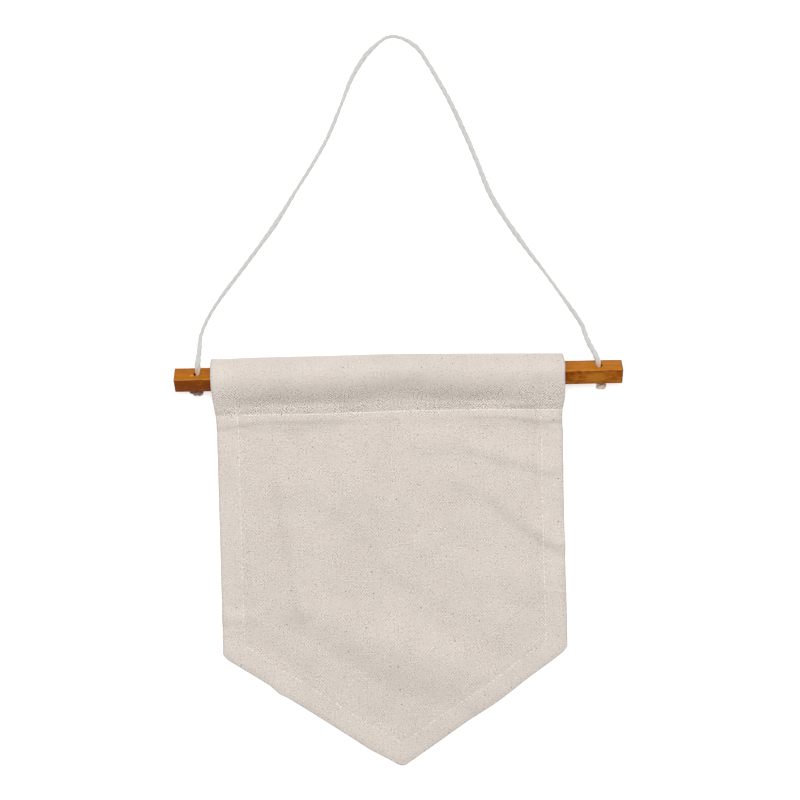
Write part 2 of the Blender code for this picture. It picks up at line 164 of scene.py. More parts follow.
class Paint:
    """A value in a material's tree. Python's operators add Math nodes, and node() adds any other."""

    def __init__(self, tree, socket=None):
        self.tree = tree
        self.socket = socket

    def node(self, kind, sockets=(), output=0, stops=(), **settings):
        """Another node: its settings and ramp stops first, then its sockets by name or number."""
        made = self.tree.nodes.new("ShaderNode" + kind)
        for name, value in settings.items():
            setattr(made, name, value)
        for i, (place, grey) in enumerate(stops):
            stop = made.color_ramp.elements[i] if i < 2 else made.color_ramp.elements.new(place)
            stop.position = place
            stop.color = (grey, grey, grey, 1.0)
        for name, value in dict(sockets).items():
            if isinstance(value, Paint):
                self.tree.links.new(value.socket, made.inputs[name])
            else:
                made.inputs[name].default_value = value
        return Paint(self.tree, made.outputs[output])

    def maths(self, operation, *values):
        return self.node("Math", dict(enumerate(values)), operation=operation)

    def vectors(self, operation, *values):
        return self.node("VectorMath", dict(enumerate(values)), operation=operation)

    def mix(self, first, second, share):
        """Two colours mixed."""
        colours = [value if isinstance(value, Paint) else (*value, 1.0) for value in (first, second)]
        return self.node("Mix", {0: share, 6: colours[0], 7: colours[1]}, output=2, data_type="RGBA")

    def noise(self, place, scale, detail, output=0):
        return self.node("TexNoise", {"Vector": place, "Scale": scale, "Detail": detail}, output)

    def streaks(self, place, scales, detail):
        """Noise drawn out along the axes that have the lower scales."""
        return self.noise(self.vectors("MULTIPLY", place, scales), 1.0, detail)

    def ramp(self, *stops):
        """A grey that follows this value through the stops, each a place and its grey."""
        return self.node("ValToRGB", {0: self}, stops=stops)

    def part(self, axis):
        return self.node("SeparateXYZ", {0: self}, output=axis)

    def length(self):
        return self.node("VectorMath", {0: self}, output=1, operation="LENGTH")

    def past(self, start, width):
        """0 up to the start, then rising to 1 over the width."""
        return ((self - start) / width).ramp((0.0, 0.0), (1.0, 1.0))

    def bump(self, distance, strength):
        """A surface that this value raises."""
        return self.node("Bump", {"Height": self, "Distance": distance, "Strength": strength})

    def __add__(self, other):
        return self.maths("ADD", self, other)

    def __radd__(self, other):
        return self.maths("ADD", other, self)

    def __sub__(self, other):
        return self.maths("SUBTRACT", self, other)

    def __rsub__(self, other):
        return self.maths("SUBTRACT", other, self)

    def __mul__(self, other):
        return self.maths("MULTIPLY", self, other)

    def __rmul__(self, other):
        return self.maths("MULTIPLY", other, self)

    def __truediv__(self, other):
        return self.maths("DIVIDE", self, other)

    def __rtruediv__(self, other):
        return self.maths("DIVIDE", other, self)


def new_finish(name, values):
    """A material with one Principled shader. values are for the sockets that are the same all over."""
    made = bpy.data.materials.new(name)
    made.use_nodes = True
    shader = made.node_tree.nodes["Principled BSDF"]
    for socket, value in values.items():
        shader.inputs[socket].default_value = value
    return made, shader, Paint(made.node_tree)


def join(shader, **sockets):
    """Links painted values to a shader's sockets, named with _ for a space."""
    for name, value in sockets.items():
        value.tree.links.new(value.socket, shader.inputs[name.replace("_", " ")])


def cotton_finish(name, length, stained, share):
    """Matt cotton yarn: fibres wind round each ply, and the stick's stain has rubbed off near the ends,
    where the pink is partly a painted reflection of the orange wood.
    """
    made, shader, paint = new_finish(name, {
        "Roughness": 0.9, "Sheen Weight": 0.2, "Specular IOR Level": 0.15})
    wound = paint.node("UVMap", uv_map="wound")
    fibres = paint.streaks(wound, (900.0, 14.0, 1.0), 3.0)
    lumps = paint.streaks(wound, (260.0, 2.0, 1.0), 2.0)
    spots = paint.noise(paint.node("TexCoord", output="Object"), 160.0, 3.0)
    shade = fibres.ramp((0.3, 0.0), (0.7, 1.0)) * 0.5 + lumps * 0.3 + spots * 0.35 - 0.1
    colour = paint.mix(COTTON_SHADE, COTTON, shade)
    # Near both ends the yarn is tinted: rubbed-off stain, and a painted reflection of the wood it lies over
    from_middle = paint.maths("ABSOLUTE", wound.part("X") - length / 2)
    rubbed = from_middle.past(length / 2 - STAIN_AND_REFLECTION_END, STAIN_AND_REFLECTION_FADES)
    colour = paint.mix(colour, stained, rubbed * spots.ramp((0.3, 0.5), (0.6, 1.0)) * share)
    join(shader, Base_Color=colour, Normal=(fibres * 0.7 + lumps * 0.3).bump(0.12 * MM, 0.8))
    return made


def distances(points):
    """How far along a line each of its points is."""
    return np.append(0, np.cumsum(np.linalg.norm(np.diff(points, axis=0), axis=1)))


def evenly(points, count):
    """Evenly spaced points along a line of points."""
    run = distances(points)
    even = np.linspace(0, run[-1], count)
    return np.stack([np.interp(even, run, column) for column in points.T], axis=1)


def smooth_route(points, step):
    """Evenly spaced points on a smooth curve through a route's own points."""
    points = np.array(points)
    padded = np.vstack([2 * points[0] - points[1], points, 2 * points[-1] - points[-2]])
    t = np.linspace(0, 1, CURVE_STEPS, endpoint=False)[:, None]
    fine = []
    for a, b, c, d in zip(padded[:-3], padded[1:-2], padded[2:-1], padded[3:]):
        fine.append(0.5 * (2 * b + (c - a) * t + (2 * a - 5 * b + 4 * c - d) * t ** 2
                           + (3 * b - a - 3 * c + d) * t ** 3))
    fine = np.vstack(fine + [points[-1:]])
    return evenly(fine, math.ceil(distances(fine)[-1] / step) + 1)


def linked(name, data, finish):
    """A new object of the banner with its finish."""
    made = bpy.data.objects.new(name, data)
    data.materials.append(finish)
    bpy.context.scene.collection.objects.link(made)
    return made


def face_out(data, merged_within=0.0):
    """Turns a mesh's faces outwards, after points that lie on each other are merged."""
    mesh = bmesh.new()
    mesh.from_mesh(data)
    if merged_within:
        bmesh.ops.remove_doubles(mesh, verts=mesh.verts, dist=merged_within)
    bmesh.ops.recalc_face_normals(mesh, faces=mesh.faces)
    mesh.to_mesh(data)
    mesh.free()


def twisted(points, diameter, width=np.ones_like):
    """Vertices, faces and wound UVs of plies laid round each other along points."""
    tangents = np.gradient(points, axis=0)
    tangents /= np.linalg.norm(tangents, axis=1)[:, None]
    side = np.cross(tangents[0], ASKEW)
    sides = []
    for tangent in tangents:
        side = side - tangent * side.dot(tangent)
        side = side / np.linalg.norm(side)
        sides.append(side)
    sides = np.array(sides)
    ups = np.cross(tangents, sides)

    def outward(angle):
        return np.cos(angle)[:, None] * sides + np.sin(angle)[:, None] * ups

    count = len(points)
    along = distances(points)
    size = width(along / along[-1])
    ply, reach = diameter / 2 * PLY_SIZE, diameter / 2 * PLY_REACH
    vertices, faces, wound = [], [], []
    for p in range(PLIES):
        turn = 2 * math.pi * (along / LAY + p / PLIES)
        waves = np.sin(along / SWELL_LENGTHS[0] + 2.3 * p) * np.sin(along / SWELL_LENGTHS[1] + p)
        swell = size * (1 + PLY_SWELL * waves)
        middle = points + reach * size[:, None] * outward(turn)
        start = len(vertices) * count
        for k in range(PLY_SIDES):
            vertices.append(middle + ply * swell[:, None] * outward(turn + 2 * math.pi * k / PLY_SIDES))
        for k in range(PLY_SIDES):
            here, there = start + k * count, start + (k + 1) % PLY_SIDES * count
            for i in range(count - 1):
                faces.append((here + i, there + i, there + i + 1, here + i + 1))
                low, high = k / PLY_SIDES, (k + 1) / PLY_SIDES
                wound += [(along[i], low), (along[i], high), (along[i + 1], high), (along[i + 1], low)]
        for i, ring in ((0, range(PLY_SIDES)), (count - 1, reversed(range(PLY_SIDES)))):
            faces.append(tuple(start + k * count + i for k in ring))
            wound += [(along[i], k / PLY_SIDES) for k in range(PLY_SIDES)]
    return np.vstack(vertices), faces, wound


def yarn_mesh(name, parts):
    """One smooth mesh of several twisted lengths."""
    vertices, faces, wound = [], [], []
    for part_vertices, part_faces, part_wound in parts:
        start = sum(len(v) for v in vertices)
        vertices.append(part_vertices)
        faces += [tuple(start + i for i in face) for face in part_faces]
        wound += part_wound
    data = bpy.data.meshes.new(name)
    data.from_pydata(np.vstack(vertices).tolist(), [], faces)
    data.uv_layers.new(name="wound").data.foreach_set("uv", np.array(wound, np.float32).ravel())
    face_out(data)
    data.shade_smooth()
    return data


def string_width(share):
    """How wide the string is at a share of its length, where 1 is its usual width."""
    return np.interp(share, *zip(*STRING_WIDTH))


string_path = smooth_route(
    [(x * MM, y * MM + STICK_Y, up * MM + STRING_Z) for x, y, up in STRING_ROUTE_MM], STRING_STEP)
# Where the string is thick its middle lies higher above the floor
lowest = STRING_REACH * string_width(np.linspace(0, 1, len(string_path)))
string_path[:, 2] = np.maximum(string_path[:, 2], lowest)
string_length = float(distances(string_path)[-1])
cotton = cotton_finish("cotton string", string_length, COTTON_STAIN_AND_REFLECTION, STAIN_AND_REFLECTION_SHARE)
string = linked("cotton_string", yarn_mesh("cotton_string", [
    twisted(string_path, STRING_DIAMETER, string_width)]), cotton)
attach(string, "root")
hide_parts("hanging_string")

# Canvas. One piece of undyed plain weave cotton, cut as a pentagon with margins all round. Its
# sides and V are hemmed to the back, raw edge turned in, and its top is folded back over the
# stick and sewn down below it as a pocket.
CLOTH = 0.5 * MM
LAYER = 0.54 * MM
ROOM_BELOW = 0.35 * MM
BASE = ROOM_BELOW + CLOTH / 2
HEM_WIDTH = 14.0 * MM
TURN_IN_START = 0.8 * MM
TURN_IN_RAMP = 2.2 * MM
TURN_IN_END = 3.4 * MM
FOLD = LAYER / 2
HEM_FALL = 5.0 * MM
SIDE_STITCHING = 13.2 * MM
V_STITCHING = 12.2 * MM
STITCH_DRAW = 0.2 * MM
STITCH_DRAW_WIDTH = 1.0 * MM

# The cloth's two sides. Each row: y from the stick's axis, x of the left edge, x of the right edge
SIDE_EDGES_MM = (
    (-170, -111.2, 101.5),
    (-145, -111.5, 101.5),
    (-116, -111.8, 101.1),
    (-100, -111.9, 101.0),
    (-67, -112.3, 100.9),
    (-50, -112.4, 101.0),
    (-37, -112.6, 101.2),
    (-26, -112.8, 100.7),
    (-20, -113.4, 101.2),
    (-16, -113.7, 101.8),
    (-11, -114.0, 101.8),
    (-6, -114.3, 101.7),
    (0, -114.4, 101.5),
    (6, -114.6, 101.9),
    (12, -115.0, 101.4),
)
MIDDLE_Y = -100.0 * MM
# The V edge before its corners and point are rounded. Each row: x, y from the stick's axis
BOTTOM_EDGE_MM = (
    (-112.0, -170.8),
    (-95.0, -181.5),
    (-83.0, -189.1),
    (-77.0, -194.6),
    (-70.8, -197.7),
    (-46.0, -213.7),
    (-22.0, -229.7),
    (-9.6, -236.5),
    (-1.5, -241.7),
    (28.0, -221.6),
    (46.7, -208.9),
    (65.0, -196.4),
    (91.0, -178.2),
    (101.6, -170.4),
)
POINT_X = -1.5 * MM
POINT_ROUND = 3.0 * MM
CORNER_ROUND = 4.0 * MM
CORNER_RISE = 0.4
EDGE_TILT = math.radians(33.5)

# Fold along the top and stitch line under the stick. Each row: x, y from the stick's axis
TOP_EDGE_MM = ((-115, 12.8), (-108, 12.7), (-90, 13.1), (-48, 13.4), (-8, 13.8), (45, 13.2), (102, 12.3))
SEAM_MM = ((-114, -22.9), (-94, -22.4), (-69, -22.7), (-46, -22.7), (-25, -22.2), (0, -21.8), (40, -21.6),
           (55, -21.7), (85, -22.2), (102, -22.6))
# The pocket's turned edge below the stitch line. Each row: x, distance below it, how long the front
# layer takes to come down from it
POCKET_EDGE_MM = (
    (-114, 6.5, 3.4),
    (-100, 5.2, 3.0),
    (-84, 3.4, 2.6),
    (-60, 3.2, 2.6),
    (-40, 3.0, 3.6),
    (-11, 2.4, 6.0),
    (15, 2.2, 7.0),
    (38, 2.4, 5.0),
    (52, 3.0, 3.0),
    (66, 3.6, 2.6),
    (78, 5.4, 2.4),
    (90, 6.2, 2.4),
    (102, 5.6, 2.8),
)

# The pocket's outer surface, from the seam over the stick's ridge to where it meets the floor.
# Each row: y and z at the pocket's ends, y and z between there and its middle, y and z in its middle
POCKET_SECTION_MM = (
    (-21.3, 3.2, -21.3, 2.8, -21.3, 1.9),
    (-20.2, 4.2, -19.2, 3.3, -19.0, 2.3),
    (-19.2, 5.1, -17.2, 3.8, -17.0, 2.8),
    (-18.0, 6.2, -15.2, 4.9, -15.0, 3.7),
    (-16.0, 8.0, -13.0, 7.2, -13.0, 5.0),
    (-13.0, 10.5, -11.0, 9.8, -11.0, 6.9),
    (-10.0, 12.8, -9.0, 12.2, -9.0, 9.0),
    (-7.5, 14.5, -7.0, 14.1, -7.0, 11.3),
    (-5.0, 15.9, -5.0, 15.6, -5.0, 13.4),
    (-3.0, 16.9, -3.0, 16.6, -3.1, 15.2),
    (-1.0, 17.6, -1.0, 17.2, -1.5, 16.4),
    (0.9, 17.9, 0.9, 17.4, 0.0, 17.2),
    (3.2, 17.3, 3.2, 17.0, 1.6, 17.7),
    (5.8, 15.9, 5.8, 15.7, 3.4, 17.9),
    (8.6, 13.2, 8.6, 13.2, 5.2, 17.2),
    (11.3, 9.9, 11.3, 9.9, 7.2, 15.4),
    (13.2, 6.8, 13.2, 6.8, 9.6, 12.4),
    (13.9, 4.2, 13.9, 4.2, 12.0, 8.6),
    (13.2, 1.9, 13.2, 1.9, 13.9, 4.2),
    (11.4, 0.4, 11.4, 0.4, 13.0, 1.6),
    (9.0, 0.0, 9.0, 0.0, 9.0, 0.0),
)
# How far these sections reach: to the top fold, to the seam, and up
TOP_REACH = 13.9 * MM
SEAM_REACH = 21.3 * MM
POCKET_HEIGHT = 17.9 * MM
# How much of the ends' and of the middle's section shows at x. Each row: x, share
END_SHARE = ((-115, 0.7), (-104, 0.65), (-96, 0.4), (-86, 0.15), (-76, 0.0), (46, 0.0), (58, 0.15), (68, 0.4),
             (78, 0.75), (88, 1.0), (102, 1.0))
MIDDLE_SHARE = ((-115, 0.0), (-70, 0.05), (-48, 0.2), (-35, 0.3), (-22, 0.5), (-10, 0.9), (0, 1.0), (10, 0.9),
                (26, 0.35), (40, 0.15), (55, 0.05), (80, 0.0), (102, 0.0))

# Soft ridges where the lying cloth stands off the floor. Each row: start x and y, end x and y,
# half width, height, all y from the stick's axis
FOLDS_MM = (
    (8, -41, 44, -43, 10, 1.1),
    (44, -43, 96, -58, 9, 2.2),
    (33, -64, 55, -72, 10, 1.2),
    (55, -72, 80, -93, 9, 2.2),
    (80, -93, 101, -106, 9, 2.2),
    (-72, -68, -60, -142, 10, 2.0),
    (-110, -147, -90, -147, 7, 1.2),
    (-62, -66, -8, -74, 24, 2.2),
    (-22, -94, -6, -118, 9, 1.1),
    (-6, -118, 24, -137, 9, 1.1),
    (60, -129, 90, -131, 14, 1.2),
    (-58, -145, -34, -157, 17, 2.7),
    (-34, -157, -6, -171, 20, 4.0),
    (-6, -171, 30, -182, 25, 5.8),
    (30, -182, 54, -195, 26, 6.4),
)
# How much of the folds the stiff hems follow, and how far below the seam the folds are at full height
FOLDS_IN_HEM = 0.75
FOLDS_START = 14.0 * MM
# Swells that the hems follow in full, and then the short puckers that their sewing draws across
# them, from the edge inwards, in the same columns
PUCKERS_MM = (
    (-97, -48, -97, -132, 15, 1.1),
    (-112, -147, -97, -147, 7, 1.0),
    (-108, -173, -14, -236, 18, 2.7),
    (14, -158, 60, -168, 30, 2.0),
    (88, -98, 103, -107, 8, 1.4),
    (-113, -43, -96, -44, 2.0, 0.35),
    (-113, -48, -97, -49, 1.8, 0.3),
    (-113, -61, -98, -60, 2.2, 0.3),
    (-113, -78, -97, -77, 2.2, 0.35),
    (-113, -101, -98, -100, 2.5, 0.35),
    (-113, -128, -98, -127, 2.4, 0.3),
    (-112, -158, -94, -152, 3.2, 0.6),
    (102, -58, 86, -61, 2.4, 0.4),
    (102, -78, 88, -74, 2.4, 0.4),
    (102, -106, 86, -104, 2.6, 0.5),
    (102, -118, 88, -117, 2.2, 0.4),
    (102, -136, 87, -134, 2.6, 0.35),
    (42, -205, 34, -192, 2.6, 0.5),
    (57, -196, 50, -184, 2.4, 0.45),
    (-104, -31, -84, -39, 3.0, 0.4),
    (76, -25, 98, -35, 3.4, 0.5),
)
PUCKERS_START = 4.0 * MM
# Where the cloth is pinched beside the seam, in the same columns. A negative height is a trough
CREASES_MM = (
    (-100, -25.4, -42, -24.8, 10, 2.0),
    (50, -24.4, 96, -25.4, 10, 1.8),
    (-115, -21.6, -101, -21.3, 1.7, -0.5),
    (-113, -25.8, -99, -25.4, 2.4, 0.35),
    (84, -19.6, 97, -20.2, 1.5, -0.3),
)
# Gentle lumps all over: about how wide, and how high. The pocket's start away from the seam, and
# grow as its wall rises, from one height on and over another
BODY_LUMPS = (30 * MM, 0.12 * MM)
BODY_SMALL_LUMPS = (9 * MM, 0.035 * MM)
POCKET_LUMPS = (34 * MM, 0.16 * MM)
POCKET_SMALL_LUMPS = (11 * MM, 0.03 * MM)
POCKET_LUMPS_START = 6.0 * MM
POCKET_LUMPS_GROW = (3 * MM, 9 * MM)
LUMP_WAVES = 14
# The pocket's wall leaves the body's height behind within this length from the seam
WALL_LEAVES_SEAM = 5.0 * MM

# Columns and rows of the cloth's mesh, from an edge or from the seam, and of the hem's back
HEM_STEPS_MM = (0, 0.35, 0.8, 1.3, 1.9, 2.5, 3.1, 4.2, 5.6, 7.2, 8.8, 10.2, 11.2, 12, 12.6, 13.2, 14,
                14.8, 15.9, 17.2, 18.6)
SEAM_STEPS_MM = (0, 0.4, 0.8, 1.3, 1.9, 2.6, 3.5, 4.5, 5.5, 6.5, 7.5, 8.5, 9.5, 10.7, 12, 13.4)
HEM_FLAT_MM = (4.5, 7.0, 9.5, 11.2, 12.4, 13.2)
HEM_TURNED_IN_MM = (12.6, 10.0, 7.0, 5.0)
# The pocket's edge turned in. Each row: how far back and up from its front, in fold radii
POCKET_TURN = ((-0.7, 0.3), (-1.0, 1.0), (-0.7, 1.7))
POCKET_TURNED_IN_MM = (0, 2.0, 4.5)
POCKET_TURN_START = HEM_WIDTH + 2.0 * MM
POCKET_STEP = 0.2 * MM
MERGED_WITHIN = 0.002 * MM
HEM_POINTS = 6
RAMP_POINTS = 5
BEND_ROWS = 8
HALF_COLUMNS = 62
MIDDLE_ROWS = 92
POCKET_ROWS = 66
FLOOR_ROWS = 16
SEED = 7


def curve_through(rows, column):
    """A smooth curve through a table in millimetres, as a function of its first column in metres."""
    places = np.array([row[0] for row in rows]) * MM
    values = np.array([row[column] for row in rows]) * MM
    slopes = np.gradient(values, places)

    def read(at):
        at = np.clip(at, places[0], places[-1])
        i = np.clip(np.searchsorted(places, at) - 1, 0, len(places) - 2)
        span = places[i + 1] - places[i]
        t = (at - places[i]) / span
        return ((2 * t ** 3 - 3 * t ** 2 + 1) * values[i] + (t ** 3 - 2 * t ** 2 + t) * span * slopes[i]
                + (3 * t ** 2 - 2 * t ** 3) * values[i + 1] + (t ** 3 - t ** 2) * span * slopes[i + 1])

    return read


left_edge = curve_through(SIDE_EDGES_MM, 1)
right_edge = curve_through(SIDE_EDGES_MM, 2)
top_edge = curve_through(TOP_EDGE_MM, 1)
seam_line = curve_through(SEAM_MM, 1)
pocket_edge = curve_through(POCKET_EDGE_MM, 1)
seam_fall = curve_through(POCKET_EDGE_MM, 2)


def rise(t):
    """0 below 0, 1 above 1, and smooth between."""
    t = np.clip(t, 0, 1)
    return t * t * (3 - 2 * t)


def bottom_edge(x):
    """y of the V edge at x, with the point and both corners rounded."""
    rows = np.array(BOTTOM_EDGE_MM) * MM
    y = np.interp(x, rows[:, 0], rows[:, 1])
    from_point = np.abs(x - POINT_X)
    y = y + math.tan(EDGE_TILT) * np.maximum(POINT_ROUND - from_point, 0) ** 2 / (2 * POINT_ROUND)
    from_corner = np.maximum(np.minimum(x - left_edge(y), right_edge(y) - x), 0)
    return y + CORNER_RISE * np.maximum(CORNER_ROUND - from_corner, 0) ** 2 / CORNER_ROUND


def ridges(x, y, rows):
    """Height of a table's soft ridges. A row that starts where the one before ends goes on with its ridge."""
    height = np.zeros(np.broadcast(x, y).shape)
    ridge, last = height, None
    for row in rows:
        start, end = np.array(row[:2]) * MM, np.array(row[2:4]) * MM
        run = end - start
        t = np.clip(((x - start[0]) * run[0] + (y - start[1]) * run[1]) / run.dot(run), 0, 1)
        away = np.hypot(x - start[0] - run[0] * t, y - start[1] - run[1] * t) / (row[4] * MM)
        bump = row[5] * MM * np.maximum(1 - away * away, 0) ** 2
        if row[:2] == last:
            ridge = np.where(np.abs(bump) > np.abs(ridge), bump, ridge)
        else:
            height, ridge = height + ridge, bump
        last = row[2:4]
    return height + ridge


def unevenness(x, y, wavelength, height, seed):
    """Gentle lumps of about a wavelength, between 0 and twice the height."""
    draw = np.random.default_rng(seed)
    total = np.zeros(np.broadcast(x, y).shape)
    for angle, phase, stretch in draw.uniform((0, 0, 0.7), (math.pi, 2 * math.pi, 1.6), (LUMP_WAVES, 3)):
        place = x * math.cos(angle) + y * math.sin(angle)
        total = total + np.sin(2 * math.pi * place / (wavelength * stretch) + phase)
    return height * (1 + total / math.sqrt(LUMP_WAVES))


def from_edges(x, y):
    """How far in from the nearer side, and how far in from the V."""
    return np.minimum(x - left_edge(y), right_edge(y) - x), (y - bottom_edge(x)) * math.cos(EDGE_TILT)


def front_height(x, y):
    """How high the middle of the front layer lies, below the seam."""
    side, end = from_edges(x, y)
    inside = np.minimum(side, end)
    below = seam_line(x) - y
    in_hem = 1 - rise((inside - HEM_WIDTH) / HEM_FALL)
    in_side_hem = 1 - rise((side - HEM_WIDTH) / HEM_FALL)
    over_pocket = 1 - rise((below - pocket_edge(x)) / seam_fall(x))
    hem = LAYER * (1 + rise((inside - TURN_IN_START) / TURN_IN_RAMP)) * in_hem
    pocket = LAYER * (2 + in_side_hem) * over_pocket
    free = (1 - in_hem * (1 - FOLDS_IN_HEM)) * rise(below / FOLDS_START)
    folds = (ridges(x, y, FOLDS_MM) + unevenness(x, y, *BODY_LUMPS, SEED)) * free
    puckers = ridges(x, y, PUCKERS_MM) + unevenness(x, y, *BODY_SMALL_LUMPS, SEED + 1)
    drawn = np.exp(-(np.where(end < side, end - V_STITCHING, side - SIDE_STITCHING) / STITCH_DRAW_WIDTH) ** 2)
    drawn = np.maximum(drawn, np.exp(-(below / STITCH_DRAW_WIDTH) ** 2))
    puckers = puckers * rise(below / PUCKERS_START) + ridges(x, y, CREASES_MM)
    return BASE + hem + pocket + folds + puckers - STITCH_DRAW * drawn


def across(u, inset, y):
    """x of a column: u runs from 0 at the left side over 0.5 at the point to 1 at the right side."""
    low, high = left_edge(y) + inset, right_edge(y) - inset
    return np.where(u < 0.5, low + (POINT_X - low) * u * 2, POINT_X + (high - POINT_X) * (u * 2 - 1))


def body_points(u, inset, rows):
    """The front layer below the seam. rows are: below the seam, share of the way down, above the V."""
    below, share, above = rows.T[:, :, None]
    y = np.full(np.broadcast(u, inset, below).shape, MIDDLE_Y)
    # x depends on y and y on x, and a few rounds settle both
    for _ in range(4):
        x = across(u, inset, y)
        bottom = bottom_edge(x) + (inset + above) / math.cos(EDGE_TILT)
        y = (1 - share) * (seam_line(x) - below) + share * bottom
    return np.stack([x, y, front_height(x, y)], axis=-1)


def pocket_curves():
    """The three pocket sections as evenly spaced points, (rows, 2) each."""
    table = np.array(POCKET_SECTION_MM) * MM
    curves = []
    for columns in ((0, 1), (2, 3), (4, 5)):
        section = np.insert(table[:, columns], 0, 0.0, axis=1)
        curves.append(evenly(smooth_route(section, POCKET_STEP)[:, 1:], POCKET_ROWS + 1))
    return curves


def pocket_points(u, inset, curves):
    """The pocket's wall from the seam over the stick to the floor, then along the floor to its edge."""
    x = across(u, inset, 0.0)
    end, middle = (np.interp(x / MM, *zip(*rows)) for rows in (END_SHARE, MIDDLE_SHARE))
    shares = (end * (1 - middle), (1 - end) * (1 - middle), middle)
    y, z = (sum(curve[:, [k]] * share for curve, share in zip(curves, shares)) for k in (0, 1))
    y = y * np.where(y > 0, top_edge(x) / TOP_REACH * (1 - CLOTH / 2 / TOP_REACH), -seam_line(x) / SEAM_REACH)
    z = BASE + z * (1 - (BASE + CLOTH / 2) / POCKET_HEIGHT)
    run = np.cumsum(np.hypot(np.diff(y, axis=0, prepend=y[:1]), np.diff(z, axis=0, prepend=z[:1])), axis=0)
    x = across(u, inset, y)
    beside_seam = 1 - rise(run / WALL_LEAVES_SEAM)
    z = z + (front_height(x[:1], seam_line(x[:1])) - z[:1]) * beside_seam
    lumps = unevenness(x, run, *POCKET_LUMPS, SEED + 2) + unevenness(x, run, *POCKET_SMALL_LUMPS, SEED + 3)
    low, growth = POCKET_LUMPS_GROW
    z = z + lumps * rise(run / POCKET_LUMPS_START) * rise((z - low) / growth)
    z = z + (ridges(x, y, CREASES_MM) - ridges(x[:1], y[:1], CREASES_MM) * beside_seam) * (y < 0)
    share = np.linspace(0, 1, FLOOR_ROWS + 1)[1:, None]
    end = seam_line(x[-1:]) - pocket_edge(x[-1:])
    floor_y = y[-1:] + (end - y[-1:]) * share
    floor_x = across(u, inset, floor_y)
    floor_z = np.full(floor_y.shape, BASE)
    return np.stack([np.vstack([x, floor_x]), np.vstack([y, floor_y]), np.vstack([z, floor_z])], axis=-1)


def inward(points, body_rows):
    """Unit directions from the front layer to the layers behind it: down in the body, in at the pocket."""
    step = np.gradient(points, axis=0)[:, :, 1:]
    step /= np.linalg.norm(step, axis=2)[:, :, None]
    into = np.stack([np.zeros(step.shape[:2]), -step[:, :, 1], step[:, :, 0]], axis=-1)
    into[-body_rows:] = (0, 0, -1)
    seam = len(points) - body_rows
    for back in range(1, BEND_ROWS):
        share = rise(back / BEND_ROWS)
        into[seam - back] = into[seam - back] * share + np.array((0, 0, -1)) * (1 - share)
    return into / np.linalg.norm(into, axis=2)[:, :, None]


def banner_points(u, inset, depth, rows, curves):
    """Points of a layer of the banner, from the pocket's edge on the floor to the V, and flat places."""
    u, inset, depth = np.broadcast_arrays(np.atleast_1d(u), inset, depth)
    body = body_points(u, inset, rows)
    pocket = pocket_points(u, inset, curves)[1:][::-1]
    points = np.concatenate([pocket, body])
    run = np.linalg.norm(np.diff(points[:, :, 1:], axis=0), axis=2)
    seam = len(pocket)
    flat_y = points[:, :, 1].copy()
    for i in range(seam - 1, -1, -1):
        flat_y[i] = flat_y[i + 1] + run[i]
    points = points + inward(points, len(body)) * depth[None, :, None]
    return points, np.stack([points[:, :, 0], flat_y], axis=-1)


def hem_path():
    """The hem's way round from the front layer: (from the edge, behind the front layer) points."""
    turns = np.linspace(0, math.pi, HEM_POINTS)
    outer = [(FOLD * (1 - math.sin(a)), FOLD * (1 - math.cos(a))) for a in turns]
    ramp = [(place, LAYER * (1 + float(rise((place - TURN_IN_START) / TURN_IN_RAMP))))
            for place in np.linspace(TURN_IN_START, TURN_IN_START + TURN_IN_RAMP, RAMP_POINTS)]
    flat = [(place * MM, 2 * LAYER) for place in HEM_FLAT_MM]
    inner = [(HEM_WIDTH - FOLD * (1 - math.sin(a)), 2 * LAYER - FOLD * (1 - math.cos(a))) for a in turns]
    turned_in = [(place * MM, LAYER) for place in HEM_TURNED_IN_MM] + [(TURN_IN_END, LAYER)]
    return np.array(outer + ramp + flat + inner + turned_in)


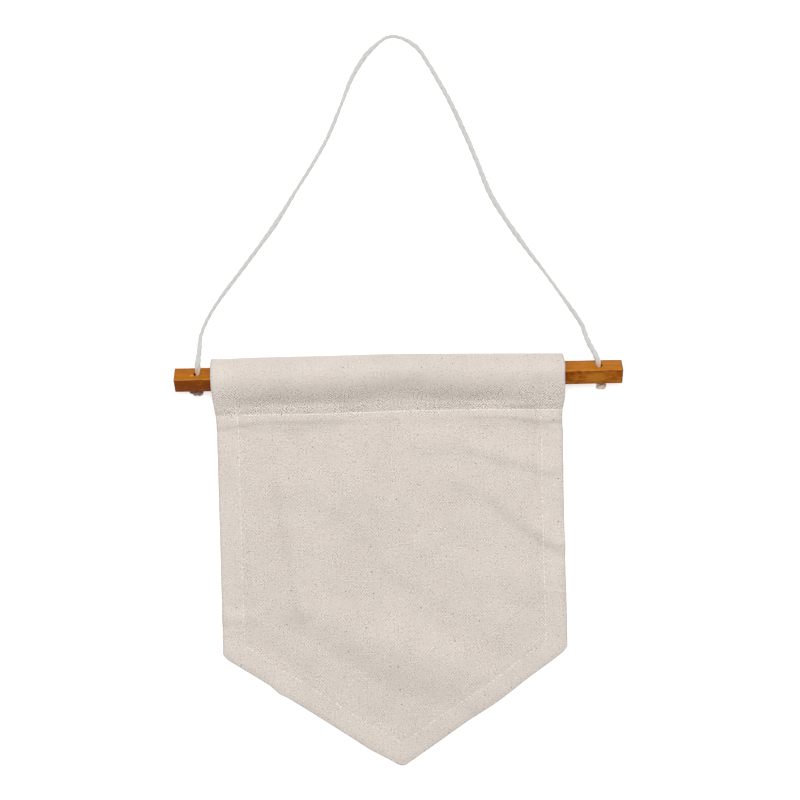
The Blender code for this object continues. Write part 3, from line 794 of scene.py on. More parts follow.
def cloth_patches():
    """The cloth's five grids of points, each with its flat places: the front with the pocket, the
    two side hems, the V's hem, and the pocket's edge."""
    steps = np.array(HEM_STEPS_MM) * MM
    half = float(right_edge(MIDDLE_Y) - left_edge(MIDDLE_Y)) / 2 - FOLD
    near = steps / half / 2
    middle = np.linspace(near[-1], 0.5, HALF_COLUMNS + 1)[1:]
    u = np.concatenate([near, middle])
    u = np.concatenate([u, 1 - u[:-1][::-1]])
    below = np.array(SEAM_STEPS_MM) * MM
    share = np.linspace(0, 1, MIDDLE_ROWS + 2)[1:-1]
    rows = [(s, 0, 0) for s in below] + [(below[-1], g, steps[-1]) for g in share]
    rows = np.array(rows + [(0, 1, e) for e in steps[::-1]])
    curves = pocket_curves()
    path = hem_path()
    length = distances(path)

    front, front_flat = banner_points(u, FOLD, 0.0, rows, curves)
    patches = [(front, front_flat)]
    for side, out in ((0.0, -1), (1.0, 1)):
        points, flat = banner_points(side, path[:, 0], path[:, 1], rows, curves)
        flat[:, :, 0] = points[:, :1, 0] + out * length
        patches.append((points, flat))
    tilt = np.where(u < 0.5, EDGE_TILT, -EDGE_TILT)
    outward = np.stack([-np.sin(tilt), -np.cos(tilt)], axis=-1)
    points, flat = [], []
    for (inset, depth), beyond in zip(path, length):
        points.append(banner_points(u, inset, depth, rows, curves)[0][-1])
        flat.append(front_flat[-1] + outward * beyond)
    patches.append((np.array(points), np.array(flat)))
    # The pocket's lower edge is turned in too, between its hemmed ends
    inner = (u * half * 2 > POCKET_TURN_START) & ((1 - u) * half * 2 > POCKET_TURN_START)
    edge, edge_flat = front[0][inner], front_flat[0][inner]
    turned, turned_flat = [edge], [edge_flat]
    bend = [(back * FOLD, up * FOLD) for back, up in POCKET_TURN]
    for back, up in bend + [(place * MM, LAYER) for place in POCKET_TURNED_IN_MM]:
        turned.append(edge + (0, back, up))
        turned_flat.append(edge_flat + (0, abs(back) + up))
    patches.append((np.array(turned), np.array(turned_flat)))
    return patches


def points_of(data):
    """The places of a mesh's points, as columns x, y and z."""
    places = np.empty(len(data.vertices) * 3)
    data.vertices.foreach_get("co", places)
    return places.reshape(-1, 3)


def keep_at_points(data, name, values):
    """Writes a number or a vector for each of a mesh's points, as an attribute."""
    values = np.asarray(values, np.float32)
    kind, part = ("FLOAT", "value") if values.ndim == 1 else ("FLOAT_VECTOR", "vector")
    data.attributes.new(name, kind, "POINT").data.foreach_set(part, values.ravel())


def canvas_mesh():
    """The folded cloth as one thin surface, and the length, width and area of its flat cut."""
    vertices, faces, flat = [], [], []
    for points, places in cloth_patches():
        start = sum(len(v) for v in vertices)
        high, wide = points.shape[:2]
        grid = start + np.arange(high * wide).reshape(high, wide)
        corners = np.stack([grid[:-1, :-1], grid[:-1, 1:], grid[1:, 1:], grid[1:, :-1]], axis=-1)
        vertices.append(points.reshape(-1, 3) + (0, STICK_Y, 0))
        flat.append(places.reshape(-1, 2))
        faces.append(corners.reshape(-1, 4))
    faces = np.vstack(faces)
    data = bpy.data.meshes.new("canvas_cloth")
    data.from_pydata(np.vstack(vertices).tolist(), [], faces.tolist())
    data.uv_layers.new(name="flat").data.foreach_set("uv", np.vstack(flat)[faces].astype(np.float32).ravel())
    face_out(data, MERGED_WITHIN)
    data.shade_smooth()
    x, y, _ = points_of(data).T
    keep_at_points(data, "inside", np.minimum(*from_edges(x, y - STICK_Y)))
    places = np.vstack(flat)
    cut = places.max(axis=0) - places.min(axis=0)
    ring = places[faces]
    area = np.abs(np.cross(ring[:, 2] - ring[:, 0], ring[:, 3] - ring[:, 1])).sum() / 2
    return data, tuple(float(side) for side in cut), float(area)


WARP = 0.90 * MM
WEFT = 1.02 * MM
CANVAS_LIGHT = (0.85, 0.775, 0.717)
CANVAS_DARK = (0.30, 0.258, 0.225)
SEED_BROWN = (0.15, 0.10, 0.07)
THREAD_WANDER = 1.1 * MM
# Three sorts of flecks. Each row: cells to a metre, share of cells without one, size in cells, strength
FLECKS = ((60.0, 0.62, 0.03, 0.8), (150.0, 0.66, 0.06, 0.45), (400.0, 0.55, 0.17, 0.35))
# Where the shading of the flat cloth starts to change, and over what width: below and above the
# hollow under the stick, at the pocket's top, inside the hems, and beside their folded edges
HOLLOW_STARTS = (-23.5 * MM, 3.5 * MM)
HOLLOW_ENDS = (-8.0 * MM, 9.0 * MM)
TOP_STARTS = (-4.0 * MM, 6.0 * MM)
HEM_ENDS = (HEM_WIDTH - 2.0 * MM, 2.0 * MM)
# The painted shade along the hems' folded edges
EDGE_SHADE_ENDS = (0.2 * MM, 0.8 * MM)


def canvas_finish():
    """Undyed plain weave: uneven threads over and under each other, slubs, and brown flecks of seed."""
    made, shader, paint = new_finish("natural canvas", {
        "Roughness": 0.92, "Sheen Weight": 0.12, "Specular IOR Level": 0.15})
    flat = paint.node("UVMap", uv_map="flat")
    wander = paint.vectors("SUBTRACT", paint.noise(flat, 260.0, 2.0, output=1), (0.5, 0.5, 0.5))
    wander = paint.vectors("MULTIPLY", wander, (THREAD_WANDER, THREAD_WANDER, 0.0))
    place = paint.vectors("ADD", flat, wander)
    warp, weft = place.part("X") / WARP, place.part("Y") / WEFT
    warp_wave, weft_wave = (paint.maths("SINE", count * math.pi) for count in (warp, weft))
    warp_row, weft_row = (paint.maths("FLOOR", count) for count in (warp, weft))
    over = paint.maths("COSINE", (weft - 0.5) * math.pi + warp_row * math.pi)
    under = 0 - paint.maths("COSINE", (warp - 0.5) * math.pi + weft_row * math.pi)
    warp_height = paint.maths("ABSOLUTE", warp_wave) * 0.5 + over * 0.5
    weft_height = paint.maths("ABSOLUTE", weft_wave) * 0.5 + under * 0.5
    weave = paint.maths("MAXIMUM", warp_height, weft_height)
    # Where the warp is on top the cloth is painted lighter, a painted light for how the light catches
    # the warp's raised threads, more so in some patches than in others
    checks = warp_wave * weft_wave
    patches = paint.noise(flat, 110.0, 2.0).ramp((0.4, 0.1), (0.6, 1.0))
    # Each thread has its own shade along its length, and fibres stand out of it all over
    threads = paint.node("CombineXYZ", {0: warp, 1: weft})
    warp_tone = paint.streaks(threads, (1.1, 0.1, 0.0), 1.0)
    weft_tone = paint.streaks(threads, (0.1, 1.1, 0.0), 1.0)
    on_top = paint.maths("GREATER_THAN", warp_height, weft_height)
    tone = warp_tone * on_top + weft_tone * (1 - on_top)
    mottle = paint.noise(flat, 1250.0, 1.0)
    clouds = paint.noise(flat, 22.0, 1.0) + (paint.noise(flat, 75.0, 2.0) - 0.5) * 0.8
    # In the hollow below the stick the light rakes over the cloth and shows its threads more
    up = flat.part("Y")
    hollow = up.past(*HOLLOW_STARTS) * (1 - up.past(*HOLLOW_ENDS))
    top = up.past(*TOP_STARTS)
    # The hems are painted paler, a painted light where their three layers stand up towards the light, and
    # three layers make them smoother; their folded edges are painted darker, a painted shade where the
    # cloth turns down to the floor
    inside = paint.node("Attribute", output=2, attribute_name="inside")
    in_hem = 1 - inside.past(*HEM_ENDS)
    edge_shade = 1 - inside.past(*EDGE_SHADE_ENDS)
    grain = checks * patches * 0.18 + (mottle - 0.5) * (patches * 0.9 + 0.45)
    grain = grain * (hollow * 1.8 - top * 0.4 - in_hem * 0.2 + 1)
    light = grain + tone * 0.2 + clouds * 0.15 + in_hem * 0.03 - edge_shade * 0.2 + 0.42
    colour = paint.mix(CANVAS_DARK, CANVAS_LIGHT, light)
    for scale, without, size, strength in FLECKS:
        cells = {"Vector": flat, "Scale": scale}
        away = paint.node("TexVoronoi", cells, voronoi_dimensions="2D")
        lot = paint.node("TexVoronoi", cells, output=1, voronoi_dimensions="2D").part("X")
        fleck = away.ramp((size * 0.5, 1.0), (size, 0.0)) * paint.maths("GREATER_THAN", lot, without)
        colour = paint.mix(colour, SEED_BROWN, fleck * strength)
    bump = (weave * 0.7 + tone * 0.15 + mottle * 0.4).bump(0.26 * MM, 0.7)
    join(shader, Base_Color=colour, Normal=bump)
    return made


cloth_data, cut_size, cut_area = canvas_mesh()
canvas = linked("canvas_cloth", cloth_data, canvas_finish())
thickness = canvas.modifiers.new("thickness", "SOLIDIFY")
thickness.thickness = CLOTH
thickness.offset = 0.0
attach(canvas, "root")
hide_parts("canvas_banner")

# Sewing. Cream cotton thread in a plain lockstitch: one line under the stick that closes the
# pocket, one down each side hem and one along each arm of the V, seen on the front and the back.
STITCH_PITCH = 2.96 * MM
STITCH_LENGTH = 2.3 * MM
THREAD = 0.5 * MM
STITCH_DIP = 0.32 * MM
STITCH_STANDS = 0.17 * MM
# At the back the cloth's weight presses the thread in
BACK_STITCH_STANDS = -0.1 * MM
# The hems' stitches lie deeper in the cloth, some of them nearly hidden
HEM_STITCH_STANDS = -0.09 * MM
HEM_STITCH_SINKS = 0.17 * MM
# The pocket's wall hangs over the seam's first stitches, which lie deep in the crease there
SEAM_STITCH_HIDDEN = 0.5 * MM
SEAM_HIDDEN_END = 15.0 * MM
SEAM_HIDDEN_FADES = 2.0 * MM
# Where the lines of stitches start: in from the side edges, and below the seam
SEAM_START = 0.8 * MM
SIDE_START = 2.0 * MM
V_START = 15.5 * MM
# How far down the side edges are looked up for the seam, the side lines and the V's line
SEAM_Y = -22.0 * MM
LOW_SIDE_Y = -150.0 * MM
CORNER_Y = -165.0 * MM
SEAM_POINTS = 130
SIDE_POINTS = 90
V_POINTS = 160
STITCH_WANDER = math.radians(7)
STITCH_STEPS = 6
STITCH_SIDES = 6
THREAD_LIGHT = (0.96, 0.94, 0.91)
THREAD_SHADE = (0.78, 0.74, 0.69)


def thread_finish():
    """Cream cotton thread, fine and almost matt."""
    made, shader, paint = new_finish("sewing thread", {
        "Roughness": 0.7, "Sheen Weight": 0.2, "Specular IOR Level": 0.3})
    place = paint.node("TexCoord", output="Object")
    tone = paint.noise(place, 300.0, 2.0)
    fibres = paint.noise(place, 5200.0, 2.0)
    colour = paint.mix(THREAD_SHADE, THREAD_LIGHT, tone * 0.8 + fibres * 0.5 - 0.1)
    join(shader, Base_Color=colour, Normal=fibres.bump(0.05 * MM, 0.6))
    return made


def sewing_tree():
    """Lines of stitches: a short bowed thread at every pitch along each line, facing the line's out."""
    tree = bpy.data.node_groups.new("lockstitch", "GeometryNodeTree")
    face = tree.interface
    face.new_socket("Geometry", in_out="INPUT", socket_type="NodeSocketGeometry")
    for name in ("Pitch", "Length", "Thread", "Dip", "Wander"):
        face.new_socket(name, in_out="INPUT", socket_type="NodeSocketFloat")
    face.new_socket("Seed", in_out="INPUT", socket_type="NodeSocketInt")
    face.new_socket("Finish", in_out="INPUT", socket_type="NodeSocketMaterial")
    face.new_socket("Geometry", in_out="OUTPUT", socket_type="NodeSocketGeometry")

    def node(kind, sockets=(), **settings):
        made = tree.nodes.new(kind)
        for name, value in settings.items():
            setattr(made, name, value)
        for name, value in dict(sockets).items():
            if isinstance(value, bpy.types.NodeSocket):
                tree.links.new(value, made.inputs[name])
            else:
                made.inputs[name].default_value = value
        return made.outputs

    given = node("NodeGroupInput")

    def times(name, factor):
        return node("ShaderNodeMath", {0: given[name], 1: factor}, operation="MULTIPLY")[0]

    line = node("GeometryNodeResampleCurve", {
        "Curve": node("GeometryNodeMeshToCurve", {"Mesh": given["Geometry"]})["Curve"],
        "Length": given["Pitch"]}, mode="LENGTH")
    under = times("Dip", -1.0)
    bow = node("GeometryNodeCurveQuadraticBezier", {
        "Resolution": STITCH_STEPS,
        "Start": node("ShaderNodeCombineXYZ", {0: times("Length", -0.5), 2: under})[0],
        "Middle": node("ShaderNodeCombineXYZ", {2: given["Dip"]})[0],
        "End": node("ShaderNodeCombineXYZ", {0: times("Length", 0.5), 2: under})[0]})
    ring = node("GeometryNodeCurvePrimitiveCircle", {
        "Resolution": STITCH_SIDES, "Radius": times("Thread", 0.5)})
    stitch = node("GeometryNodeCurveToMesh", {
        "Curve": bow["Curve"], "Profile Curve": ring["Curve"], "Fill Caps": True})
    tangent = node("GeometryNodeInputTangent")[0]
    out = node("GeometryNodeInputNamedAttribute", {"Name": "out"}, data_type="FLOAT_VECTOR")["Attribute"]
    along = node("FunctionNodeAlignRotationToVector", {"Vector": tangent}, axis="X")["Rotation"]
    facing = node("FunctionNodeAlignRotationToVector", {"Rotation": along, "Vector": out}, axis="Z",
                  pivot_axis="X")["Rotation"]
    wander = node("FunctionNodeRandomValue", {
        "Min": times("Wander", -1.0), "Max": given["Wander"], "Seed": given["Seed"]}, data_type="FLOAT")
    turn = node("FunctionNodeAxisAngleToRotation", {
        "Axis": (0.0, 0.0, 1.0), "Angle": next(s for s in wander if s.enabled)})["Rotation"]
    turned = node("FunctionNodeRotateRotation", {"Rotation": facing, "Rotate By": turn},
                  rotation_space="LOCAL")["Rotation"]
    stitches = node("GeometryNodeInstanceOnPoints", {
        "Points": line["Curve"], "Instance": stitch["Mesh"], "Rotation": turned})["Instances"]
    solid = node("GeometryNodeRealizeInstances", {"Geometry": stitches})["Geometry"]
    smooth = node("GeometryNodeSetShadeSmooth", {"Geometry": solid})["Geometry"]
    finished = node("GeometryNodeSetMaterial", {"Geometry": smooth, "Material": given["Finish"]})["Geometry"]
    node("NodeGroupOutput", {"Geometry": finished})
    return tree


def settle(made):
    """Gives an object the mesh that its modifiers make, and takes them off."""
    made.update_tag()
    bpy.context.view_layer.update()
    solid = bpy.data.meshes.new_from_object(made.evaluated_get(bpy.context.evaluated_depsgraph_get()))
    made.modifiers.clear()
    made.data = solid


def sewing_lines():
    """Where the thread runs on the front and on the back: lists of (points, outward direction)."""
    x = np.linspace(left_edge(SEAM_Y) + SEAM_START, right_edge(SEAM_Y) - SEAM_START, SEAM_POINTS)
    y = seam_line(x)
    shown = rise((x - left_edge(SEAM_Y) - SEAM_HIDDEN_END) / SEAM_HIDDEN_FADES)
    lines = [(x, y, front_height(x, y) - SEAM_STITCH_HIDDEN * (1 - shown), np.full(len(x), BASE))]
    for edge, side in ((left_edge, 1), (right_edge, -1)):
        x = edge(LOW_SIDE_Y) + side * SIDE_STITCHING
        end = bottom_edge(x) + V_STITCHING / math.cos(EDGE_TILT)
        y = seam_line(x) - SIDE_START + (end - seam_line(x)) * np.linspace(0, 1, SIDE_POINTS)
        x = edge(y) + side * SIDE_STITCHING
        top = front_height(x, y)
        lines.append((x, y, top, top - 2 * LAYER))
    x = np.linspace(left_edge(CORNER_Y) + V_START, right_edge(CORNER_Y) - V_START, V_POINTS)
    y = bottom_edge(x) + V_STITCHING / math.cos(EDGE_TILT)
    top = front_height(x, y)
    lines.append((x, y, top, top - 2 * LAYER))
    draw = np.random.default_rng(SEED)
    made = []
    for i, (x, y, top, back) in enumerate(lines):
        sinks = 0.0 if i == 0 else draw.uniform(-HEM_STITCH_SINKS, HEM_STITCH_SINKS, len(x))
        stands = CLOTH / 2 + (STITCH_STANDS if i == 0 else HEM_STITCH_STANDS)
        made.append((np.stack([x, y, top + stands + sinks], axis=1), (0.0, 0.0, 1.0)))
        made.append((np.stack([x, y, back - CLOTH / 2 - BACK_STITCH_STANDS], axis=1), (0.0, 0.0, -1.0)))
    return made


def sewn(name, lines, finish):
    """The lines as one mesh of stitches."""
    points, edges, out = [], [], []
    for line, facing in lines:
        start = len(out)
        points += [tuple(point) for point in line + (0, STICK_Y, 0)]
        edges += [(start + i, start + i + 1) for i in range(len(line) - 1)]
        out += [facing] * len(line)
    data = bpy.data.meshes.new(name)
    data.from_pydata(points, edges, [])
    keep_at_points(data, "out", out)
    made = linked(name, data, finish)
    tree = sewing_tree()
    modifier = made.modifiers.new("stitches", "NODES")
    modifier.node_group = tree
    values = {"Pitch": STITCH_PITCH, "Length": STITCH_LENGTH, "Thread": THREAD, "Dip": STITCH_DIP,
              "Wander": STITCH_WANDER, "Seed": SEED, "Finish": finish}
    for socket in tree.interface.items_tree:
        if socket.in_out == "INPUT" and socket.name in values:
            modifier[socket.identifier] = values[socket.name]
    settle(made)
    return made


stitches = sewn("stitches", sewing_lines(), thread_finish())
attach(stitches, "root")

# Stick. A square length of softwood, sawn, sanded and stained orange brown. It has twisted a little
# in drying, its long edges have worn uneven, and a hole is drilled near each end.
LEFT_ROLL = math.radians(43.5)
RIGHT_ROLL = math.radians(52.5)
STICK_HALF = 5.2 * MM
STICK_END = stick_high.x
# The right end lies a little nearer the string's bend than the left one, and sticks out further
RIGHT_END_ASIDE = 0.3 * MM
RIGHT_END_LONGER = 0.3 * MM
ARRIS = 0.3 * MM
ARRIS_UNEVEN = 0.45
ARRIS_POINTS = 4
# What makes the edges uneven. Each row: length of a wave, its shift from one edge to the next
WEAR_WAVES = ((4.3 * MM, 2.1), (11.0 * MM, 1.3), (29.0 * MM, 1.0))
WEAR_MOST = 2.2
END_CHAMFER = 0.25 * MM
STATIONS = 150
SHARP_ANGLE = math.radians(32)
HOLE_X = 123.2 * MM
# A hole's wall. Each row: distance along the hole from the stick's middle, radius
HOLE_WALL_MM = ((-8, 2.3), (-5.2, 2.1), (-4.7, 1.95), (4.7, 1.95), (5.2, 2.1), (8, 2.3))
HOLE_SIDES = 28
HOLE_RAGGED = 0.07
RAGGED_FROM_MM = 4.8
WOOD_LIGHT = (0.47, 0.172, 0.014)
WOOD_MIDDLE = (0.37, 0.112, 0.007)
WOOD_DARK = (0.19, 0.040, 0.0015)
# Pale worn wood, also the painted highlight along the stick's ridge
WOOD_WORN_AND_HIGHLIGHT = (0.62, 0.30, 0.08)
WOOD_PALE = (0.42, 0.155, 0.016)
# Near black: scorched wood, and the painted shade down the holes
WOOD_BURNT_AND_SHADE = (0.09, 0.030, 0.004)
# How much darker the lower face is painted, a painted shade
LOWER_FACE_PAINTED_SHADE = 0.42
# A patch rubbed pale and a chip: each one's middle, and how fast it fades along x, y and z
WORN_PATCH = ((121.5 * MM, -5.2 * MM, -0.4 * MM), (105.0, 0.0, 190.0))
CHIP = ((-126.3 * MM, -1.5 * MM, 5.2 * MM), (900.0, 900.0, 900.0))
# Where the stick's painted light towards its right end starts, and over what length it grows
PAINTED_LIGHT_FROM = -100.0 * MM
PAINTED_LIGHT_OVER = 200.0 * MM
# The scorch and painted shade fade from about a quarter to a third of this, from a hole's axis
SCORCH_AND_SHADE_SCALE = 8.0 * MM


def from_left(x):
    """0 at the stick's left end and 1 at its right end."""
    return (x / STICK_END + 1) / 2


def rolled(x, y, z, way=1):
    """Places turned as the twisted stick is there, or turned back where way is -1."""
    roll = way * (LEFT_ROLL + (RIGHT_ROLL - LEFT_ROLL) * from_left(x))
    return x, y * np.cos(roll) + z * np.sin(roll), z * np.cos(roll) - y * np.sin(roll)


def stick_places(x, y, z):
    """Places in the stick's own frame moved to where the twisted stick lies."""
    x, y, z = rolled(x, y, z)
    return np.stack([x, y + (STICK_Y + RIGHT_END_ASIDE * from_left(x)), z + STICK_Z], axis=-1)


def wandering(x, line):
    """A smooth uneven value between about -1 and 1, different for each line."""
    return sum(np.sin(x / length + shift * line) for length, shift in WEAR_WAVES) / WEAR_MOST


def ringed_mesh(name, rings):
    """A closed mesh from one ring of points to the next, with its faces outwards."""
    mesh = bmesh.new()
    rings = [[mesh.verts.new(tuple(place)) for place in ring] for ring in rings]
    for first, second in zip(rings[:-1], rings[1:]):
        for k in range(len(first)):
            after = (k + 1) % len(first)
            mesh.faces.new((first[k], first[after], second[after], second[k]))
    mesh.faces.new(rings[0])
    mesh.faces.new(rings[-1])
    bmesh.ops.recalc_face_normals(mesh, faces=mesh.faces)
    data = bpy.data.meshes.new(name)
    mesh.to_mesh(data)
    mesh.free()
    return data


def stick_mesh():
    """The twisted bar with its worn edges and chamfered ends."""
    x = np.linspace(-STICK_END, STICK_END + RIGHT_END_LONGER, STATIONS)
    x = np.concatenate([x[:1], x[:1] + END_CHAMFER, x[1:-1], x[-1:] - END_CHAMFER, x[-1:]])
    shrink = np.zeros(len(x))
    shrink[[0, -1]] = END_CHAMFER
    lines = []
    for corner, (side, lift) in enumerate(((1, 1), (-1, 1), (-1, -1), (1, -1))):
        worn = ARRIS * (1 + ARRIS_UNEVEN * wandering(x, corner))
        reach = STICK_HALF - shrink - worn
        for angle in np.linspace(corner, corner + 1, ARRIS_POINTS) * math.pi / 2:
            y, z = reach * side + worn * math.cos(angle), reach * lift + worn * math.sin(angle)
            lines.append(stick_places(x, y, z))
    return ringed_mesh("stick", np.stack(lines, axis=1))


def drill_mesh(x, turn):
    """What the drill took away at x: a slightly ragged bore that widens at the stick's faces."""
    angles = np.arange(HOLE_SIDES) * 2 * math.pi / HOLE_SIDES
    rings = []
    for along, radius in HOLE_WALL_MM:
        waves = np.sin(3 * np.arange(HOLE_SIDES) + along + turn) * (abs(along) > RAGGED_FROM_MM)
        ragged = 1 + HOLE_RAGGED * waves
        y = radius * MM * ragged * np.sin(angles)
        places = stick_places(np.full(HOLE_SIDES, x), y, np.full(HOLE_SIDES, along * MM))
        places[:, 0] += radius * MM * ragged * np.cos(angles)
        rings.append(places)
    return ringed_mesh("drill", rings)


def drilled_stick(finish):
    """The stick with its holes cut, and its points' places in its own frame as an attribute."""
    made = linked("stick", stick_mesh(), finish)
    drills = []
    for turn, side in enumerate((-1, 1)):
        drills.append(linked("drill", drill_mesh(side * HOLE_X, turn), finish))
        cut = made.modifiers.new("hole", "BOOLEAN")
        cut.operation = "DIFFERENCE"
        cut.object = drills[-1]
    settle(made)
    for drill in drills:
        bpy.data.objects.remove(drill)
    x, y, z = points_of(made.data).T
    y = y - STICK_Y - RIGHT_END_ASIDE * from_left(x)
    keep_at_points(made.data, "bar", np.stack(rolled(x, y, z - STICK_Z, way=-1), axis=1))
    made.data.shade_smooth()
    made.data.set_sharp_from_angle(angle=SHARP_ANGLE)
    return made


def wood_finish():
    """Stained wood: long fine grain, blotches of stain, worn edges, dark holes and sawn ends, and painted
    light and shade.
    """
    made, shader, paint = new_finish("stained wood", {
        "Specular IOR Level": 0.1, "Specular Tint": (1.0, 0.62, 0.25, 1.0)})
    bar = paint.node("Attribute", output=1, attribute_name="bar")
    x, y, z = (bar.part(axis) for axis in "XYZ")
    off_x, off_y, off_z = (paint.maths("ABSOLUTE", value) for value in (x, y, z))
    grain = paint.streaks(bar, (50.0, 1700.0, 1700.0), 3.0)
    rings = paint.streaks(bar, (14.0, 420.0, 420.0), 2.0)
    mottle = paint.streaks(bar, (260.0, 420.0, 420.0), 2.0)
    wear = paint.streaks(bar, (130.0, 500.0, 500.0), 3.0)
    blotches = paint.noise(bar, 75.0, 2.0)
    fine = paint.noise(bar, 1400.0, 2.0)
    # 1 on the face below the top edge, which is painted darker, a painted shade for that face turned away
    # from the light, and 0 on the others
    lower = (0 - y).past(STICK_HALF - 0.3 * MM, 0.2 * MM)
    # The stick is painted paler towards its right end, a painted light where the light falls stronger
    painted_light = (x - PAINTED_LIGHT_FROM) / PAINTED_LIGHT_OVER
    tone = grain * 0.5 + rings * 0.5 + blotches * 0.4 + fine * 0.1 - 0.3
    tone = tone - lower * (1.2 - painted_light * 0.35) * LOWER_FACE_PAINTED_SHADE + (mottle - 0.5) * (lower * 0.8 + 0.4)
    tone = tone + painted_light * 0.1
    colour = paint.mix(WOOD_DARK, WOOD_MIDDLE, tone.ramp((0.0, 0.0), (0.4, 1.0)))
    colour = paint.mix(colour, WOOD_LIGHT, tone.ramp((0.4, 0.0), (0.8, 1.0)))
    # The bar's four long edges: the ridge on top is painted pale, partly wear and partly a painted
    # highlight; just below it the lower face is darker in streaks; and the others are painted dark, a
    # painted shade where they turn away from the light
    off_middle = paint.maths("MINIMUM", off_y, off_z)
    edge = off_middle.past(STICK_HALF - 0.55 * MM, 0.4 * MM)
    rim_shade = off_middle.past(STICK_HALF - 1.1 * MM, 0.7 * MM)
    ridge = (z - y).past(2 * STICK_HALF - 1.1 * MM, 0.4 * MM)
    under = z.past(STICK_HALF - 2.0 * MM, 1.0 * MM) * lower
    colour = paint.mix(colour, WOOD_DARK, under * wear.ramp((0.35, 0.0), (0.6, 1.0)) * 0.5)
    colour = paint.mix(colour, WOOD_DARK, rim_shade * (1 - ridge) * 0.6)
    worn = ridge * edge * wear.ramp((0.4, 0.1), (0.6, 1.0))
    colour = paint.mix(colour, WOOD_WORN_AND_HIGHLIGHT, worn * 0.8)
    # The patch rubbed pale on the lower face, beside the right hole, and a chip beside the left one
    from_patch, from_chip = (
        paint.vectors("MULTIPLY", paint.vectors("SUBTRACT", bar, middle), fading).length()
        for middle, fading in (WORN_PATCH, CHIP))
    rubbed = (from_patch + wear * 1.3 + mottle * 0.9 - 1.1).ramp((0.35, 1.0), (0.8, 0.0)) * lower
    colour = paint.mix(colour, WOOD_PALE, rubbed * 0.8)
    colour = paint.mix(colour, WOOD_WORN_AND_HIGHLIGHT, from_chip.ramp((0.5, 1.0), (1.0, 0.0)) * 0.7)
    # The holes' walls are painted dark, partly scorched and dirty wood and partly a painted shade, and the
    # sawn ends drank the stain
    from_hole = paint.node("CombineXYZ", {0: off_x - HOLE_X, 1: y}).length()
    scorched_and_shaded = (from_hole / SCORCH_AND_SHADE_SCALE + fine * 0.08).ramp((0.27, 1.0), (0.33, 0.0))
    colour = paint.mix(colour, WOOD_BURNT_AND_SHADE, scorched_and_shaded * 0.8)
    colour = paint.mix(colour, WOOD_DARK, off_x.past(STICK_END - 0.5 * MM, 0.4 * MM) * 0.7)
    bump = (grain * 0.6 + fine * 0.2 + worn * 0.4).bump(0.1 * MM, 0.5)
    join(shader, Base_Color=colour, Roughness=grain * 0.2 + worn * 0.2 + 0.36, Normal=bump)
    return made


stick = drilled_stick(wood_finish())
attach(stick, "root")
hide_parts("wooden_stick")

# Knots. The string's own ends, each tied in an overhand knot below its hole and cut off short. The
# stick's stain has rubbed off on them, and the left one is coloured a much darker brown grey.
KNOT_TILT = math.radians(46)
KNOT_YARN = 2.1 * MM
KNOT_RING = 1.6 * MM
KNOT_WEAVE = 0.9 * MM
KNOT_POINTS = 73
TAIL_YARN = KNOT_YARN * 0.9
TAIL_START = 0.6 * MM
TAIL_LENGTH = 4.5 * MM
TAIL_END_Z = KNOT_YARN * 0.66
TAIL_FRAYED = 0.3
TAIL_POINTS = 9
# Each row: name, node, middle in mm from the stick's axis, the way its cut end points, how far
# below the middle that starts in mm, and the colour that tints it and its share: stain on the right
# one, and a much darker brown grey on the left
KNOTS = (
    ("left_knot_yarn", "left_knot", (-123.9, -7.3, 3.2), (-1.0, 0.25), 1.1, (0.25, 0.18, 0.14), 1.5),
    ("right_knot_yarn", "right_knot", (125.0, -7.8, 3.1), (-1.0, 0.9), 0.2, (0.62, 0.49, 0.38), 0.8),
)


def knot_points(place):
    """A tight overhand knot's closed middle line."""
    turn = np.linspace(0, 2 * math.pi, KNOT_POINTS)
    reach = KNOT_RING + KNOT_WEAVE * np.cos(3 * turn)
    ring = np.stack([reach * np.cos(2 * turn), reach * np.sin(2 * turn), KNOT_WEAVE * np.sin(3 * turn)])
    cos, sin = math.cos(KNOT_TILT), math.sin(KNOT_TILT)
    tilted = np.array([[1, 0, 0], [0, cos, sin], [0, -sin, cos]]) @ ring
    return tilted.T + place


def tail_points(place, toward, below):
    """A short cut end that runs out from the knot and down to the floor."""
    t = np.linspace(0, 1, TAIL_POINTS)[:, None]
    flat = np.array((*toward, 0.0)) / math.hypot(*toward)
    start = place - (0, below * MM, 0)
    drop = np.array((0.0, 0.0, place[2] - TAIL_END_Z))
    return start + flat * (TAIL_START + TAIL_LENGTH * t) - drop * np.sqrt(t)


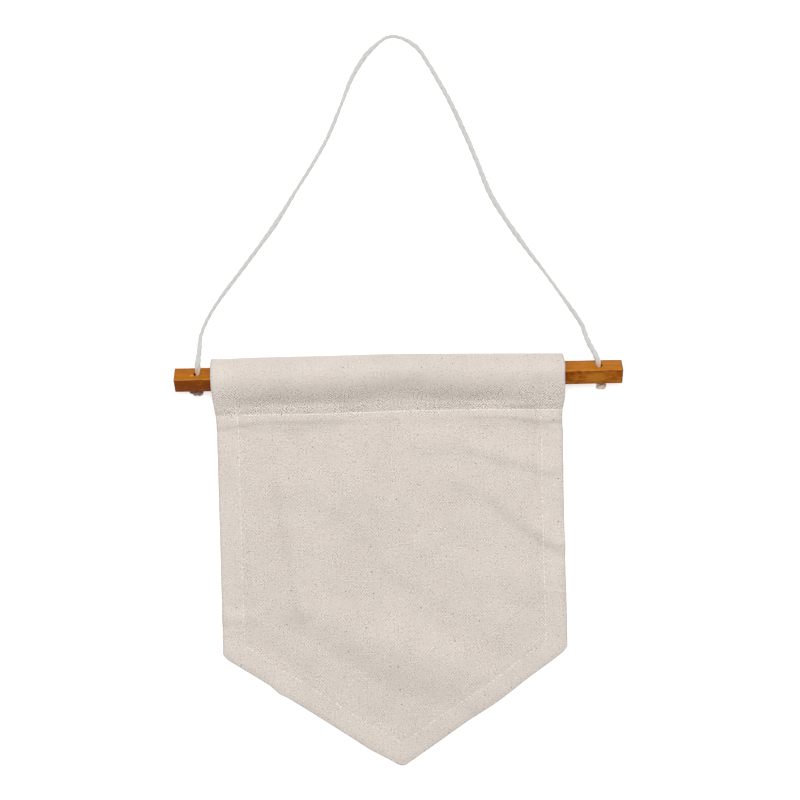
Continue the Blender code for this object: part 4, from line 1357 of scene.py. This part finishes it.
def tail_width(share):
    """The cut end frays, so it is thickest at its tip."""
    return 1 + TAIL_FRAYED * share


for name, node, place_mm, toward, below, stained, share in KNOTS:
    place = np.array(place_mm) * MM + (0, STICK_Y, 0)
    tied = twisted(knot_points(place), KNOT_YARN)
    tail = twisted(tail_points(place, toward, below), TAIL_YARN, tail_width)
    knot = linked(name, yarn_mesh(name, [tied, tail]), cotton_finish(name + " cotton", 0.0, stained, share))
    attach(knot, "root")
    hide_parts(node)

# Floor and lights. A plain white floor that glows a little, as a light table does, so that hardly a
# shadow shows on it, a wide soft light from beyond the top of the banner, and even light all round.
FLOOR_SIZE = 6.0
FLOOR_WHITE = 0.55
FLOOR_GLOW = 0.62
KEY_DISTANCE = 1.3
KEY_FROM_ZENITH = math.radians(21)
KEY_SIZE = 0.7
KEY_WATTS = 10.1
ROOM_LIGHT = 0.60

half = FLOOR_SIZE / 2
floor_data = bpy.data.meshes.new("floor")
floor_data.from_pydata([(-half, -half, 0), (half, -half, 0), (half, half, 0), (-half, half, 0)], [],
                       [(0, 1, 2, 3)])
floor_paint = new_finish("pale floor", {
    "Base Color": (FLOOR_WHITE, FLOOR_WHITE, FLOOR_WHITE, 1.0), "Emission Color": (1.0, 1.0, 1.0, 1.0),
    "Emission Strength": FLOOR_GLOW, "Roughness": 0.8, "Specular IOR Level": 0.1})[0]
floor = linked("floor", floor_data, floor_paint)

key = bpy.data.objects.new("key light", bpy.data.lights.new("key light", "AREA"))
key.data.shape = "SQUARE"
key.data.size = KEY_SIZE
key.data.energy = KEY_WATTS
key.location = (0.0, KEY_DISTANCE * math.sin(KEY_FROM_ZENITH), KEY_DISTANCE * math.cos(KEY_FROM_ZENITH))
key.rotation_euler = (-KEY_FROM_ZENITH, 0.0, 0.0)
bpy.context.scene.collection.objects.link(key)

room = bpy.data.worlds.new("room")
room.use_nodes = True
background = room.node_tree.nodes["Background"]
background.inputs["Color"].default_value = (1.0, 1.0, 1.0, 1.0)
background.inputs["Strength"].default_value = ROOM_LIGHT
bpy.context.scene.world = room
